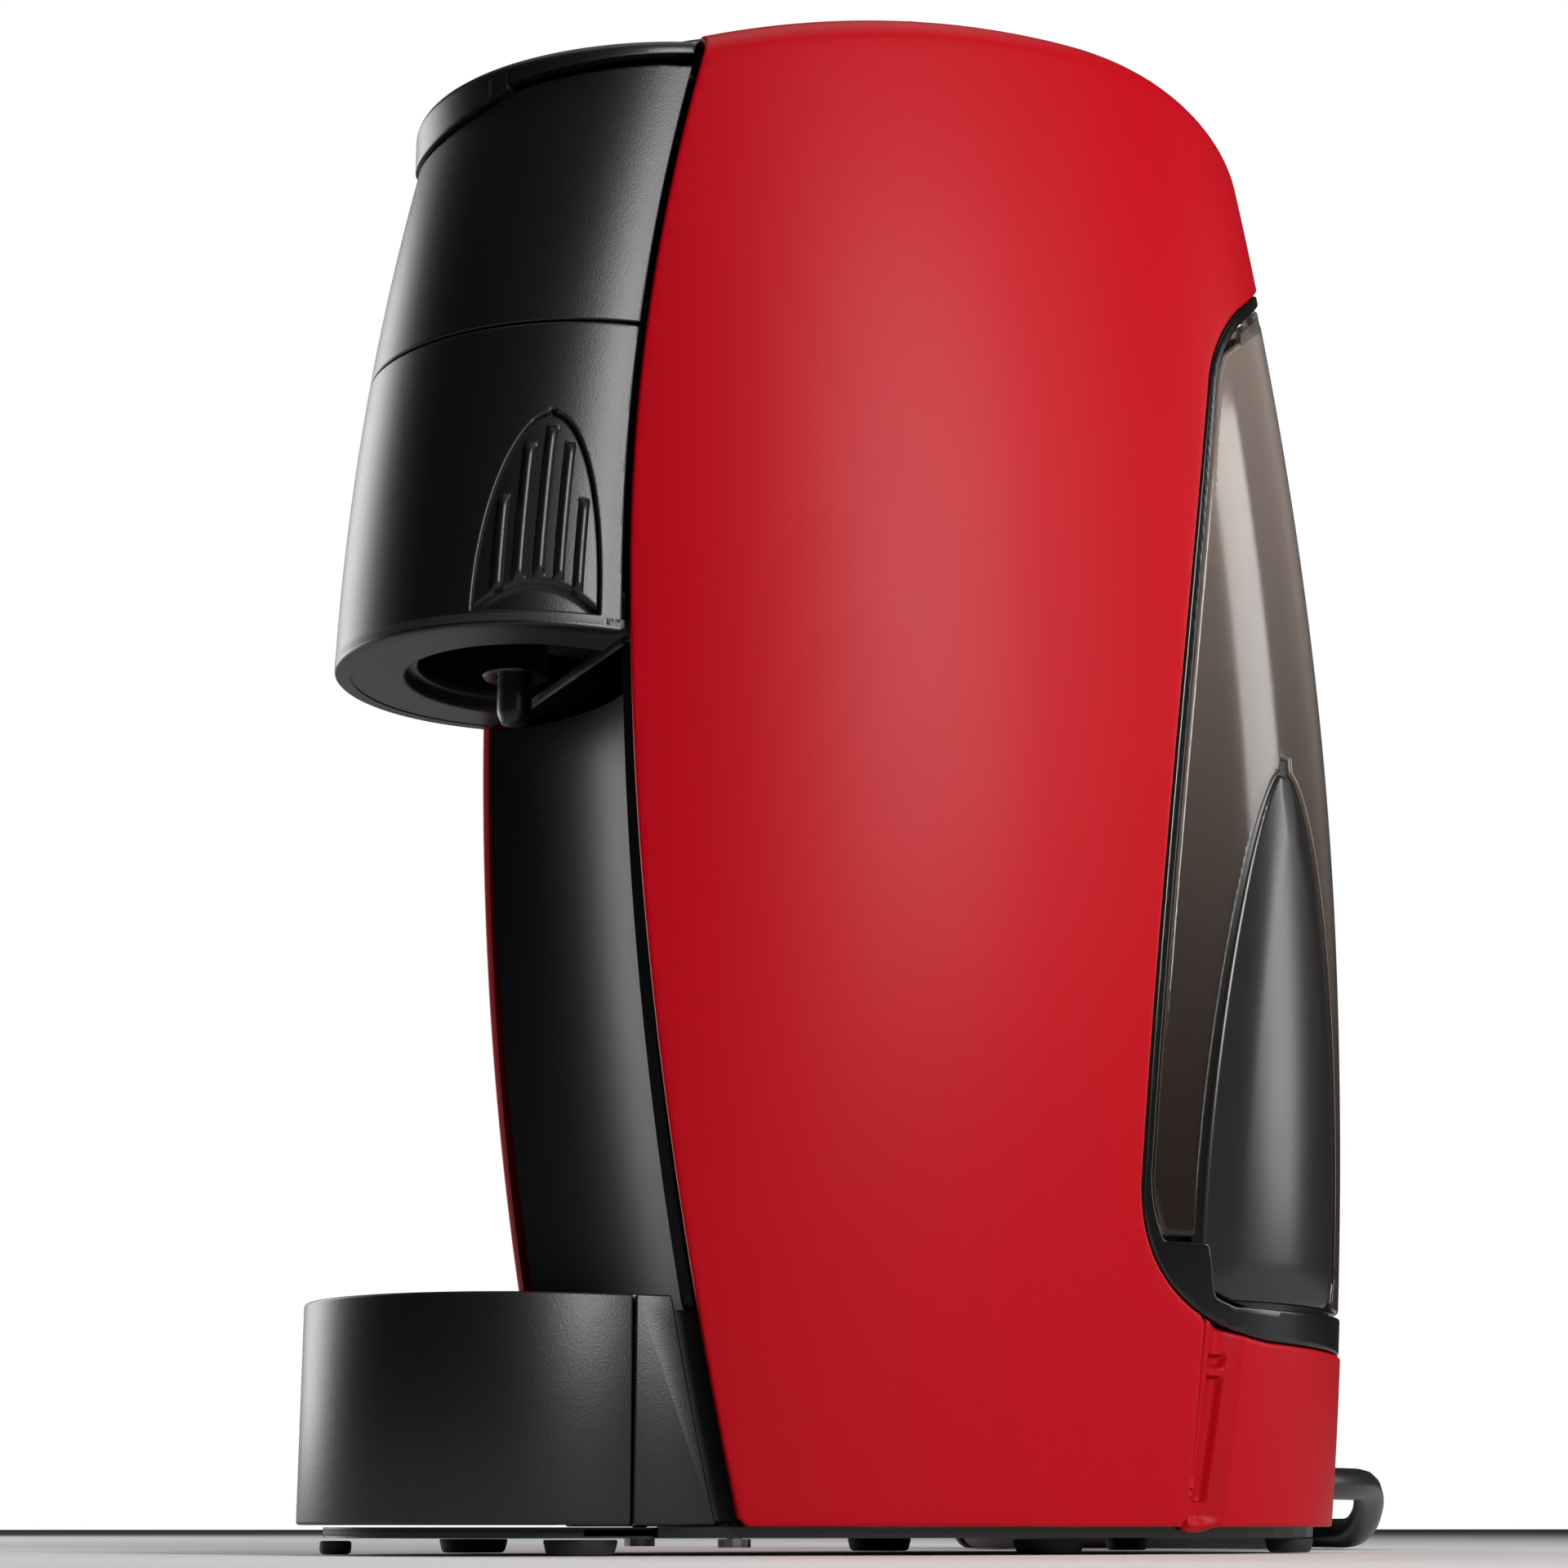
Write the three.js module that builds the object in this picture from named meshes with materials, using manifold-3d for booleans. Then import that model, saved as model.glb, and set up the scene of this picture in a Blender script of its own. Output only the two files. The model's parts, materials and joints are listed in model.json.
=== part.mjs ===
// Slim capsule espresso machine: red side shells round a black brewing head, a round drip tray
// in front and a smoked water tank behind.
// Millimetres, +Z up, front towards -Y. The origin is on the table under the middle of the machine.
import * as THREE from "three";
import { mergeVertices } from "three/addons/utils/BufferGeometryUtils.js";
import Module from "manifold-3d";

const wasm = await Module();
wasm.setup();

// ---------------------------------------------------------------- driving dimensions
const HALF_WIDTH = 63; // widest half-width of the body
const DEPTH = 226.2; // from the tray's front to the tank's back
const TRAY_R = 42.2; // drip tray drum
const HEAD_Y = TRAY_R - DEPTH / 2; // the upright axis of the head and the tray
const WIDEST = 88; // how far behind the head's axis the body is widest
const REAR = DEPTH - TRAY_R - WIDEST; // from the widest place to the back
const FRONT = 116.5; // from the widest place to where the side curves would meet in front
const FLOOR_Z = 5; // lower edge of the shells and the tray
const TOP_Z = 329; // highest point
const TOP_Y = 106; // where that point is, behind the head's axis
const MIDDLE_Z = 155; // height at which the body is widest
const WALL = 2.2; // moulded shells
const GAP = 0.4; // between neighbouring pieces

const HEAD_R = 41; // brewing head
const HEAD_Z = 176; // its lower rim
const SEAM_Z = 242.1; // seam of the capsule bin under the fascia, at the head's axis
const SEAM_TILT = 0.062; // that seam drops towards the front
const HEAD_TOP = 293; // upper edge of the fascia in front
const NOZZLE_Y = -4; // coffee outlet, behind the head's axis
const TRAY_Z = 47.3; // upper rim of the tray
const TRAY_SEAM = 7.6; // back of the removable tray, behind the head's axis
const STRIP = 36.4; // half-width of the lever's bay between the shells
const HINGE = { y: 74, z: 316.5, r: 10.8 }; // lever hinge: behind the head's axis, height, barrel
const BUTTONS = [
  ["power_button", 100],
  ["short_cup_button", 116],
  ["long_cup_button", 132],
];
const BUTTON_R = 6;

const CORD_R = 3.5; // mains lead, 7 mm thick
const CORD_EXIT = { x: -4, y: 158, z: 14.5 }; // gland at the end of the cord's tunnel
const TUNNEL_END = 181; // where the tunnel opens at the back
const COIL = { x: -91, y: 198, inner: 31.2, outer: 45.7, top: 14.2 };
const PLUG = { x: -121, y: 206.4, z: 23.6, turn: 30, low: 10.5 }; // where the cord enters it
const BEND = { across: 87, back: 59 }; // quarter of an ellipse from the tunnel to the coil

const RED = { color: 0xb3101c, roughness: 0.42, metalness: 0 };
const BLACK = { color: 0x17181a, roughness: 0.45, metalness: 0 };
const RUBBER = { color: 0x0c0c0d, roughness: 0.85, metalness: 0 };
const SMOKE = { color: 0x4a423e, roughness: 0.12, metalness: 0 };
const STEEL = { color: 0xb8babd, roughness: 0.3, metalness: 1 };
const BRASS = { color: 0xb08d4f, roughness: 0.35, metalness: 1 };
const ALUMINIUM = { color: 0x9c9ea1, roughness: 0.45, metalness: 1 };
const SILICONE = { color: 0xd8d8d2, roughness: 0.5, metalness: 0 };
const BOARD = { color: 0x14532d, roughness: 0.5, metalness: 0 };

// ---------------------------------------------------------------- helpers
const group = new THREE.Group();

// A closed three.js geometry as a manifold solid, its faces turned to point outwards.
function solid(geometry) {
  const bare = geometry.clone();
  bare.deleteAttribute("normal");
  bare.deleteAttribute("uv");
  const merged = mergeVertices(bare, 1e-4);
  const index = merged.index.array;
  const kept = [];
  for (let i = 0; i < index.length; i += 3) {
    const [a, b, c] = [index[i], index[i + 1], index[i + 2]];
    if (a !== b && b !== c && a !== c) kept.push(a, b, c);
  }
  const positions = merged.attributes.position.array;
  const made = closed(positions, kept);
  return made.volume() > 0 ? made : closed(positions, kept.reverse());
}

function closed(positions, triangles) {
  const vertProperties = new Float32Array(positions);
  const triVerts = new Uint32Array(triangles);
  return new wasm.Manifold(new wasm.Mesh({ numProp: 3, vertProperties, triVerts }));
}

// Adds a named node to the machine.
function node(name, shape, finish) {
  const mesh = shape.getMesh();
  const geometry = new THREE.BufferGeometry();
  geometry.setAttribute("position", new THREE.BufferAttribute(mesh.vertProperties, 3));
  geometry.setIndex(new THREE.BufferAttribute(mesh.triVerts, 1));
  geometry.computeVertexNormals();
  const part = new THREE.Mesh(geometry, new THREE.MeshStandardMaterial(finish));
  part.name = name;
  part.position.y = HEAD_Y;
  group.add(part);
}

const sum = (...solids) => solids.reduce((a, b) => a.add(b));
const ring = (outer, inner) => outer.subtract(inner);

// Boxes and cylinders; y is counted from the head's axis, as everywhere below.
function box(x0, x1, y0, y1, z0, z1) {
  const g = new THREE.BoxGeometry(x1 - x0, y1 - y0, z1 - z0);
  return solid(g.translate((x0 + x1) / 2, (y0 + y1) / 2, (z0 + z1) / 2));
}

function post(r, z0, z1, x, y, sides = 24, top = r) {
  const g = new THREE.CylinderGeometry(top, r, z1 - z0, sides).rotateX(Math.PI / 2);
  return solid(g.translate(x, y, (z0 + z1) / 2));
}

function bar(r, x0, x1, y, z, sides = 20) {
  const g = new THREE.CylinderGeometry(r, r, x1 - x0, sides).rotateZ(Math.PI / 2);
  return solid(g.translate((x0 + x1) / 2, y, z));
}

function barrel(r, y0, y1, x, z, sides = 20, far = r) {
  const g = new THREE.CylinderGeometry(far, r, y1 - y0, sides);
  return solid(g.translate(x, (y0 + y1) / 2, z));
}

// A profile [radius, height] turned about an upright axis.
function turned(profile, x, y, sides = 24) {
  const points = profile.map(([r, z]) => new THREE.Vector2(r, z));
  return solid(new THREE.LatheGeometry(points, sides).rotateX(Math.PI / 2).translate(x, y, 0));
}

// A plan outline raised from z0 to z1.
function raised(shape, z0, z1, steps = 1, curveSegments = 12) {
  const settings = { depth: z1 - z0, bevelEnabled: false, steps, curveSegments };
  return new THREE.ExtrudeGeometry(shape, settings).translate(0, 0, z0);
}

// A side outline, drawn with y across and z up, as wide as the machine.
function sideways(shape, x0 = -90, x1 = 90, curveSegments = 8) {
  const settings = { depth: x1 - x0, bevelEnabled: false, steps: 1, curveSegments };
  const g = new THREE.ExtrudeGeometry(shape, settings).translate(0, 0, x0);
  const axes = [new THREE.Vector3(0, 1, 0), new THREE.Vector3(0, 0, 1), new THREE.Vector3(1, 0, 0)];
  return solid(g.applyMatrix4(new THREE.Matrix4().makeBasis(...axes)));
}

// Moves each vertex of a geometry: move(v) changes the vector in place.
function reshape(geometry, move) {
  const at = geometry.attributes.position;
  const v = new THREE.Vector3();
  for (let i = 0; i < at.count; i++) {
    move(v.fromBufferAttribute(at, i));
    at.setXYZ(i, v.x, v.y, v.z);
  }
  return geometry;
}

function hose(points, r, sides = 8, steps = 16) {
  const curve = new THREE.CatmullRomCurve3(points.map((p) => new THREE.Vector3(...p)));
  const section = new THREE.Shape().absarc(0, 0, r, 0, 2 * Math.PI);
  const settings = { extrudePath: curve, steps, bevelEnabled: false, curveSegments: sides / 2 };
  return solid(new THREE.ExtrudeGeometry(section, settings));
}

function polygon(points) {
  return new THREE.Shape(points.map(([x, y]) => new THREE.Vector2(x, y)));
}

const mirrored = (s) => s.mirror([1, 0, 0]);

// ---------------------------------------------------------------- the body's outer form
// Height of the crown over a place y behind the head's axis.
function crown(y) {
  const flatness = y < TOP_Y ? 560 : 220;
  return TOP_Z - (y - TOP_Y) ** 2 / flatness;
}

// The rounded box of which shells, covers and tank are cut: a turned unit profile, pulled out to
// an egg-shaped plan, a barrel-shaped front view and the crown on top. inset shrinks it.
function bodyForm(inset, bottom = FLOOR_Z) {
  const profile = [[0, 0]];
  for (const h of [0, 0.13, 0.27, 0.41, 0.55, 0.69, 0.82, 0.9, 0.957]) profile.push([1, h]);
  for (const a of [0.33, 0.67, 1]) {
    const turn = (a * Math.PI) / 2;
    profile.push([1 - 0.23 * (1 - Math.cos(turn)), 0.957 + 0.028 * Math.sin(turn)]);
  }
  profile.push([0.4, 0.9945], [0, 1]);
  const points = profile.map(([r, h]) => new THREE.Vector2(r, h));
  const g = new THREE.LatheGeometry(points, 48).rotateX(Math.PI / 2);
  return solid(
    reshape(g, (v) => {
      const r = Math.hypot(v.x, v.y);
      const [c, s] = r > 0 ? [v.x / r, v.y / r] : [1, 0];
      const power = s > 0 ? 2 / 2.6 : 1;
      const deep = s > 0 ? REAR : FRONT;
      const across = Math.sign(c) * Math.abs(c) ** power * r;
      const along = Math.sign(s) * Math.abs(s) ** power * r ** 0.4;
      const rough = bottom + v.z * (crown(WIDEST + along * deep) - bottom - inset);
      const barrelled = 1 - 0.129 * ((rough - MIDDLE_Z) / 150) ** 2;
      const lean = rough > 125 ? 1570 : 2360;
      const back = s > 0 ? (rough - 125) ** 2 / lean : 0;
      v.x = across * (HALF_WIDTH * barrelled - inset);
      v.y = WIDEST + along * (deep - back - inset);
      v.z = bottom + v.z * (crown(v.y) - bottom - inset);
    }),
  );
}

// Front edge of the side shells: y behind the head's axis at height z.
function frontEdge(z) {
  const reach = z > 190 ? 870 : 1480;
  return 3.8 + (z - 190) ** 2 / reach;
}

// All that lies behind the shells' front edge, moved forward by ahead.
function behindFrontEdge(ahead = 0) {
  const points = [[260, -20]];
  for (let z = -20; z <= 340; z += 20) points.push([frontEdge(z) - ahead, z]);
  points.push([260, 340]);
  return sideways(polygon(points));
}

// The space that the tank and its niche take, in side view; inset shrinks it.
function tankZone(inset, raise = 0) {
  const i = inset;
  const low = 41 + i + raise;
  const s = new THREE.Shape();
  s.moveTo(250, low - 4);
  s.lineTo(141, low);
  s.quadraticCurveTo(107.9 + 0.9 * i, low + 3.5, 107.8 + i, 70 + raise);
  s.quadraticCurveTo(113.4 + i, 149.7, 133.6 + i, 246);
  s.quadraticCurveTo(136.2 + i, 257 - 0.5 * i, 146 + 0.6 * i, 266.5 - 0.8 * i);
  s.lineTo(250, 352.8 - 1.1 * i);
  s.closePath();
  return sideways(s);
}

// The bay on top between the shells, in plan; inset shrinks it.
function bay(inset) {
  const points = [
    [STRIP - inset, -60],
    [STRIP - inset, 80],
    [15 - inset, 168],
    [15 - inset, 240],
  ];
  const left = points.map(([x, y]) => [-x, y]).reverse();
  return solid(raised(polygon([...points, ...left]), 262, 360));
}

const outside = bodyForm(0);
const inside = bodyForm(WALL, FLOOR_Z - 2);
const room = bodyForm(WALL + GAP, FLOOR_Z - 2);
const shellZone = behindFrontEdge();
// What fills the shells keeps clear of their walls.
const shellWall = ring(behindFrontEdge(GAP), room);
// Where the side shells end below the tank: y at height z, moved back by later.
const rearSeam = (z, later = 0) => 119.6 + later + 0.09 * z;
function behindSeam(later) {
  const low = [rearSeam(-10, later), -10];
  const high = [rearSeam(60, later), 60];
  return sideways(polygon([low, [260, -10], [260, 60], high]));
}
const below = behindSeam(0);

// ---------------------------------------------------------------- outer covers
function sideShells() {
  const skin = ring(outside, inside).intersect(shellZone);
  const cut = skin.subtract(tankZone(0)).subtract(bay(0)).subtract(below);
  const right = cut.intersect(box(0.5, 90, -90, 260, -10, 360));
  node("right_side_shell", right, RED);
  node("left_side_shell", mirrored(right), RED);
}

function rearCover() {
  const band = ring(outside, bodyForm(2.8, FLOOR_Z - 2));
  const zone = behindSeam(GAP);
  const slot = polygon([[122.6, 11], [126, 11], [129.8, 38], [125.8, 38]]);
  const groove = sideways(slot).subtract(bodyForm(1.5));
  const tunnel = box(CORD_EXIT.x - 10, CORD_EXIT.x + 10, 160, 260, 0, 25);
  const cover = band.intersect(zone).subtract(tankZone(0)).subtract(groove).subtract(tunnel);
  node("rear_cover", cover, RED);
}

function topCover() {
  const skin = ring(outside, bodyForm(2.8, FLOOR_Z - 2)).intersect(bay(GAP));
  const behind = box(-90, 90, HINGE.y, 260, 262, 360).subtract(tankZone(0));
  let cover = skin.intersect(behind);
  cover = cover.subtract(bar(HINGE.r + 0.6, -60, 60, HINGE.y, HINGE.z, 32));
  for (const [, y] of BUTTONS) cover = cover.subtract(post(BUTTON_R + GAP, 300, 340, 0, y, 20));
  node("top_cover", cover, BLACK);
}

function buttons() {
  BUTTONS.forEach(([name, y], i) => {
    const top = crown(y) + 1.2;
    const cap = sum(
      post(BUTTON_R, top - 10, top - 1, 0, y, 20),
      post(BUTTON_R, top - 1.01, top, 0, y, 20, BUTTON_R - 1),
      post(BUTTON_R + 1.4, top - 11, top - 9.4, 0, y, 20),
    );
    node(name, cap, i ? BLACK : STEEL);
    const coil = [
      [3.4, top - 15],
      [4.4, top - 15],
      [4.4, top - 11.3],
      [3.4, top - 11.3],
      [3.4, top - 15],
    ];
    node(name.replace("button", "spring"), turned(coil, 0, y, 12), STEEL);
  });
  const low = crown(BUTTONS[2][1]) - 15.8;
  node("button_board", box(-11, 11, 92, 140, low, low + 1.6), BOARD);
}

// ---------------------------------------------------------------- base, tray and column
function trayOutline(r, back) {
  const s = new THREE.Shape();
  s.moveTo(r, back);
  s.lineTo(-r, back);
  s.lineTo(-r, 0);
  s.absarc(0, 0, r, Math.PI, 2 * Math.PI, false);
  s.closePath();
  return s;
}

function dripTray() {
  const back = TRAY_SEAM - GAP;
  const drum = solid(raised(trayOutline(TRAY_R, back), FLOOR_Z + 0.4, TRAY_Z, 1, 22));
  const well = solid(raised(trayOutline(TRAY_R - 2.4, back - 2.4), 9, TRAY_Z + 5, 1, 22));
  const ledge = ring(
    solid(raised(trayOutline(TRAY_R - 2.2, back - 2.2), TRAY_Z - 8, TRAY_Z - 3.6, 1, 22)),
    solid(raised(trayOutline(TRAY_R - 3.8, back - 3.8), 20, 60, 1, 22)),
  );
  node("drip_tray", drum.subtract(well).add(ledge), BLACK);
  const plate = solid(raised(trayOutline(TRAY_R - 2.8, back - 2.8), TRAY_Z - 3.2, TRAY_Z - 0.8, 1, 20));
  let slots = box(-1.5, 1.5, -26, 2, 40, 60);
  for (const x of [-24, -18, -12, -6, 6, 12, 18, 24]) {
    const reach = Math.sqrt(31 ** 2 - x ** 2);
    slots = slots.add(box(x - 1.5, x + 1.5, -reach, 1, 40, 60));
  }
  node("drip_grid", plate.subtract(slots), STEEL);
  node("tray_foot", post(3, 0, 2.2, 0, -36, 16), RUBBER);
}

function base() {
  const skirtBack = 40;
  const skirt = solid(raised(trayOutline(TRAY_R, skirtBack), FLOOR_Z + 0.4, TRAY_Z, 1, 24));
  const hollow = solid(raised(trayOutline(TRAY_R - 2.4, 60), 0, TRAY_Z - 2.4, 1, 24));
  const behindTray = box(-90, 90, TRAY_SEAM, 90, -10, 60);
  const walls = skirt.subtract(hollow).intersect(behindTray).subtract(shellWall);
  node("base_skirt", walls.subtract(columnForm(2, true)), BLACK);

  const front = solid(raised(trayOutline(37, 30), 3, FLOOR_Z, 1, 24));
  const rear = bodyForm(WALL + 1.2, -40).intersect(box(-90, 90, 14, 260, 3, FLOOR_Z + 2));
  const cordWay = box(CORD_EXIT.x - 10, CORD_EXIT.x + 10, 150, 260, 0, 20);
  let plate = front.add(rear.intersect(box(-90, 90, 14, 260, 3, FLOOR_Z)));
  plate = plate.add(rear.intersect(box(-90, 90, 50, 260, 3, FLOOR_Z + 2))).subtract(cordWay);
  const places = [
    [24, 36],
    [-24, 36],
  ];
  places.forEach(([x, y], i) => {
    plate = plate.subtract(post(1.9, 0, 12, x, y, 12));
    const screw = sum(post(3.2, 1.2, 2.8, x, y, 12), post(1.5, 2.7, 9, x, y, 12));
    node(`base_screw_${i + 1}`, screw, STEEL);
  });
  node("base_plate", plate, BLACK);
  const feet = [
    ["front_left_foot", -30, 2, 7],
    ["front_right_foot", 30, 2, 7],
    ["middle_left_foot", -37, 98, 7],
    ["middle_right_foot", 37, 98, 7],
    ["rear_left_foot", -32, 158, 5],
    ["rear_right_foot", 32, 158, 5],
  ];
  for (const [name, x, y, r] of feet) node(name, post(r - 0.6, 0, 2.7, x, y, 16, r), RUBBER);
}

// The splash panel under the head: hollow towards the cup, and following the shells' front edge.
function columnForm(grow = 0, tall = false) {
  const half = HEAD_R - 0.6 + grow;
  const s = new THREE.Shape();
  const arc = 61;
  const open = Math.asin(half / arc);
  const middle = Math.sqrt(arc ** 2 - half ** 2);
  s.moveTo(-half, 10 + grow);
  s.lineTo(-half, -grow);
  s.absarc(0, -middle - grow, arc, Math.PI / 2 + open, Math.PI / 2 - open, true);
  s.lineTo(half, 10 + grow);
  s.absarc(0, -middle + grow, arc + 2.6, Math.PI / 2 - open + 0.14, Math.PI / 2 + open - 0.14, false);
  s.closePath();
  const g = raised(s, tall ? 20 : TRAY_Z - 2.2, HEAD_Z - 1, 5, 8);
  return solid(reshape(g, (v) => (v.y += frontEdge(v.z) + 2.4)));
}

function column() {
  node("splash_panel", columnForm().subtract(shellWall), BLACK);
}

// ---------------------------------------------------------------- brewing head
// How far the head's axis has moved back at height z.
const headShift = (z) => (z < HEAD_Z ? 0 : 0.0297 * (z - HEAD_Z) + 0.000871 * (z - HEAD_Z) ** 2);

function headForm(r, z0, z1, back = 0) {
  const s = new THREE.Shape();
  s.moveTo(r, 0);
  s.lineTo(r, back);
  s.lineTo(-r, back);
  s.lineTo(-r, 0);
  s.absarc(0, 0, r, Math.PI, 2 * Math.PI, false);
  const g = raised(s, z0, z1, 5, 24);
  return solid(reshape(g, (v) => (v.y += headShift(v.z))));
}

// All above the tilted seam, shifted up by lift.
function aboveSeam(lift) {
  const z = (y) => SEAM_Z + lift + SEAM_TILT * y - 0.6;
  return sideways(polygon([[-90, z(-90)], [120, z(120)], [120, 400], [-90, 400]]));
}

function capsuleBin() {
  const outer = headForm(HEAD_R, HEAD_Z, SEAM_Z + 12, 6);
  const hollow = headForm(HEAD_R - 2.4, HEAD_Z + 2.6, SEAM_Z + 20, 40);
  const mouth = solid(raised(trayOutline(26, 60), HEAD_Z - 5, HEAD_Z + 60, 1, 16));
  const collar = ring(
    solid(raised(trayOutline(28.2, 6), HEAD_Z, HEAD_Z + 13, 1, 16)),
    solid(raised(trayOutline(26, 60), HEAD_Z - 5, HEAD_Z + 60, 1, 16)),
  );
  let bin = outer.subtract(hollow).subtract(mouth).add(collar).subtract(aboveSeam(-GAP));
  for (const side of [-1, 1]) bin = bin.subtract(gripRecess(side));
  bin = bin.subtract(shellWall).intersect(box(-60, 60, -60, 6, 150, 300));
  node("capsule_bin", bin, BLACK);
}

// Shallow pointed-arch recess for a fingertip on each side of the bin.
function gripRecess(side) {
  const s = new THREE.Shape();
  const half = 12.6;
  s.moveTo(-half, 0);
  s.lineTo(half, 0);
  s.quadraticCurveTo(half * 0.9, 28, 0, 41);
  s.quadraticCurveTo(-half * 0.9, 28, -half, 0);
  const settings = { depth: 20, bevelEnabled: false, curveSegments: 5 };
  const g = new THREE.ExtrudeGeometry(s, settings).rotateX(Math.PI / 2);
  g.rotateZ(Math.PI / 2 - (20 * Math.PI) / 180);
  const reach = HEAD_R - 1.3;
  const turn = (-20 * Math.PI) / 180;
  g.translate(Math.cos(turn) * reach, Math.sin(turn) * reach, HEAD_Z + 3.2);
  const cut = solid(g);
  return side > 0 ? cut : mirrored(cut);
}

// All above the fascia's roof, which runs close below the lever, shifted up by lift.
function aboveRoof(lift) {
  const line = [[-90, 256], [-27, 289.3], [-18.5, 293.8], [-17.5, 295.3], [11, 300.7], [11.4, 299], [90, 304]];
  const points = line.map(([y, z]) => [y, z + lift]);
  return sideways(polygon([...points, [90, 400], [-90, 400]]));
}

function headFascia() {
  const outer = headForm(HEAD_R, SEAM_Z - 12, HEAD_TOP + 14, 4);
  const hollow = headForm(HEAD_R - 2.4, SEAM_Z - 30, HEAD_TOP + 20, 40).subtract(aboveRoof(-2.6));
  let fascia = outer.subtract(hollow).intersect(aboveSeam(0)).subtract(aboveRoof(0)).subtract(shellWall);
  fascia = fascia.subtract(post(19, 250, 320, 0, NOZZLE_Y + 10, 24));
  node("head_fascia", fascia, BLACK);
}

function brewGroup() {
  const y = NOZZLE_Y;
  const nozzle = [
    [0, 165.6],
    [2.2, 165.6],
    [3.6, 168.5],
    [3.6, 184],
    [8, 184],
    [8, 188],
    [0, 188],
  ];
  node("coffee_nozzle", turned(nozzle, 0, y, 16), BLACK);
  const funnel = [
    [4, 188.4],
    [9, 188.4],
    [13, 204],
    [17, 236],
    [15, 236],
    [11, 204],
    [4, 192],
    [4, 188.4],
  ];
  node("coffee_funnel", turned(funnel, 0, y, 24), BLACK);
  const cup = [
    [2, 250],
    [17.5, 250],
    [17.5, 281],
    [15.2, 281],
    [15.2, 254],
    [2, 252],
    [2, 250],
  ];
  node("capsule_holder", turned(cup, 0, y + 10, 28), STEEL);
  const frame = sum(
    box(-24, 24, 25, 28, 178, 262),
    box(-38, 38, 8, 28, 176.6, 178.6),
    box(-24, -21, 0, 28, 190, 262),
    box(21, 24, 0, 28, 190, 262),
    box(-24, 24, -8, 28, 238.4, 241.4),
  );
  const bore = post(9, 230, 250, 0, y + 10, 20);
  node("brew_frame", frame.subtract(bore), ALUMINIUM);
  node("piercing_needle", turned([[0, 242], [1.2, 242], [1.2, 250], [0, 253.4]], 0, y + 10, 10), STEEL);
}

// ---------------------------------------------------------------- lever
function leverOutline(r, back) {
  const s = new THREE.Shape();
  s.moveTo(r, back);
  s.lineTo(-r, back);
  s.lineTo(-r, 16);
  s.absarc(0, 16, r, Math.PI, 2 * Math.PI, false);
  s.closePath();
  return s;
}

function lever() {
  const slope = 0.19; // the front of the lever drops towards its lip
  const plan = solid(raised(leverOutline(43, 16.6), 280, 330, 1, 22));
  const arch = [[60, 200], [60, 300]];
  for (let x = 48; x >= -48; x -= 12) arch.push([x, 308.8 - (2.6 * x * x) / 43 ** 2]);
  arch.push([-60, 300], [-60, 200]);
  const settings = { depth: 100, bevelEnabled: false };
  const vault = new THREE.ExtrudeGeometry(polygon(arch), settings).rotateX(Math.PI / 2);
  vault.translate(0, 60, 0);
  const roof = solid(reshape(vault, (v) => (v.z += slope * (v.y - 16))));
  const rim = [[60, 311.4], [-18.3, 296.5], [-18.5, 295.1], [-27, 290.6], [-60, 273.1]];
  const under = sideways(polygon([[-60, 200], [60, 200], ...rim]));
  const hollow = solid(raised(leverOutline(39, 30), 280, 299.5, 1, 18));
  const tip = plan.intersect(roof).subtract(under).subtract(hollow);
  const armZone = box(-STRIP + GAP, STRIP - GAP, 12, HINGE.y, 290, 340);
  const plate = ring(outside, bodyForm(3)).intersect(armZone);
  const knuckle = bar(HINGE.r, -STRIP + GAP, STRIP - GAP, HINGE.y, HINGE.z, 24).intersect(outside).intersect(bay(GAP));
  const pinHole = bar(2.4, -50, 50, HINGE.y, HINGE.z, 16);
  node("lever", sum(tip, plate, knuckle).subtract(pinHole), BLACK);
  node("lever_pin", bar(2, -41, 41, HINGE.y, HINGE.z, 16), STEEL);
  const injector = [
    [0, 283.6],
    [9, 283.6],
    [11.5, 287],
    [11.5, 298.8],
    [0, 298.8],
  ];
  node("water_injector", turned(injector, 0, NOZZLE_Y + 10, 24), STEEL);
  const seal = [[11.9, 288], [14, 288], [14, 291.5], [11.9, 291.5], [11.9, 288]];
  node("injector_seal", turned(seal, 0, NOZZLE_Y + 10, 20), SILICONE);
  for (const side of [-1, 1]) {
    const upright = box(37, 39.4, 62, 84, 262, 312);
    const eye = bar(6, 37, 39.4, HINGE.y, HINGE.z, 20);
    const ear = sum(upright, eye, box(37, 39.4, 68, 80, 308, 318));
    const bored = ear.subtract(pinHole).intersect(room);
    node(
      side > 0 ? "right_hinge_bracket" : "left_hinge_bracket",
      side > 0 ? bored : mirrored(bored),
      ALUMINIUM,
    );
  }
}

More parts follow.
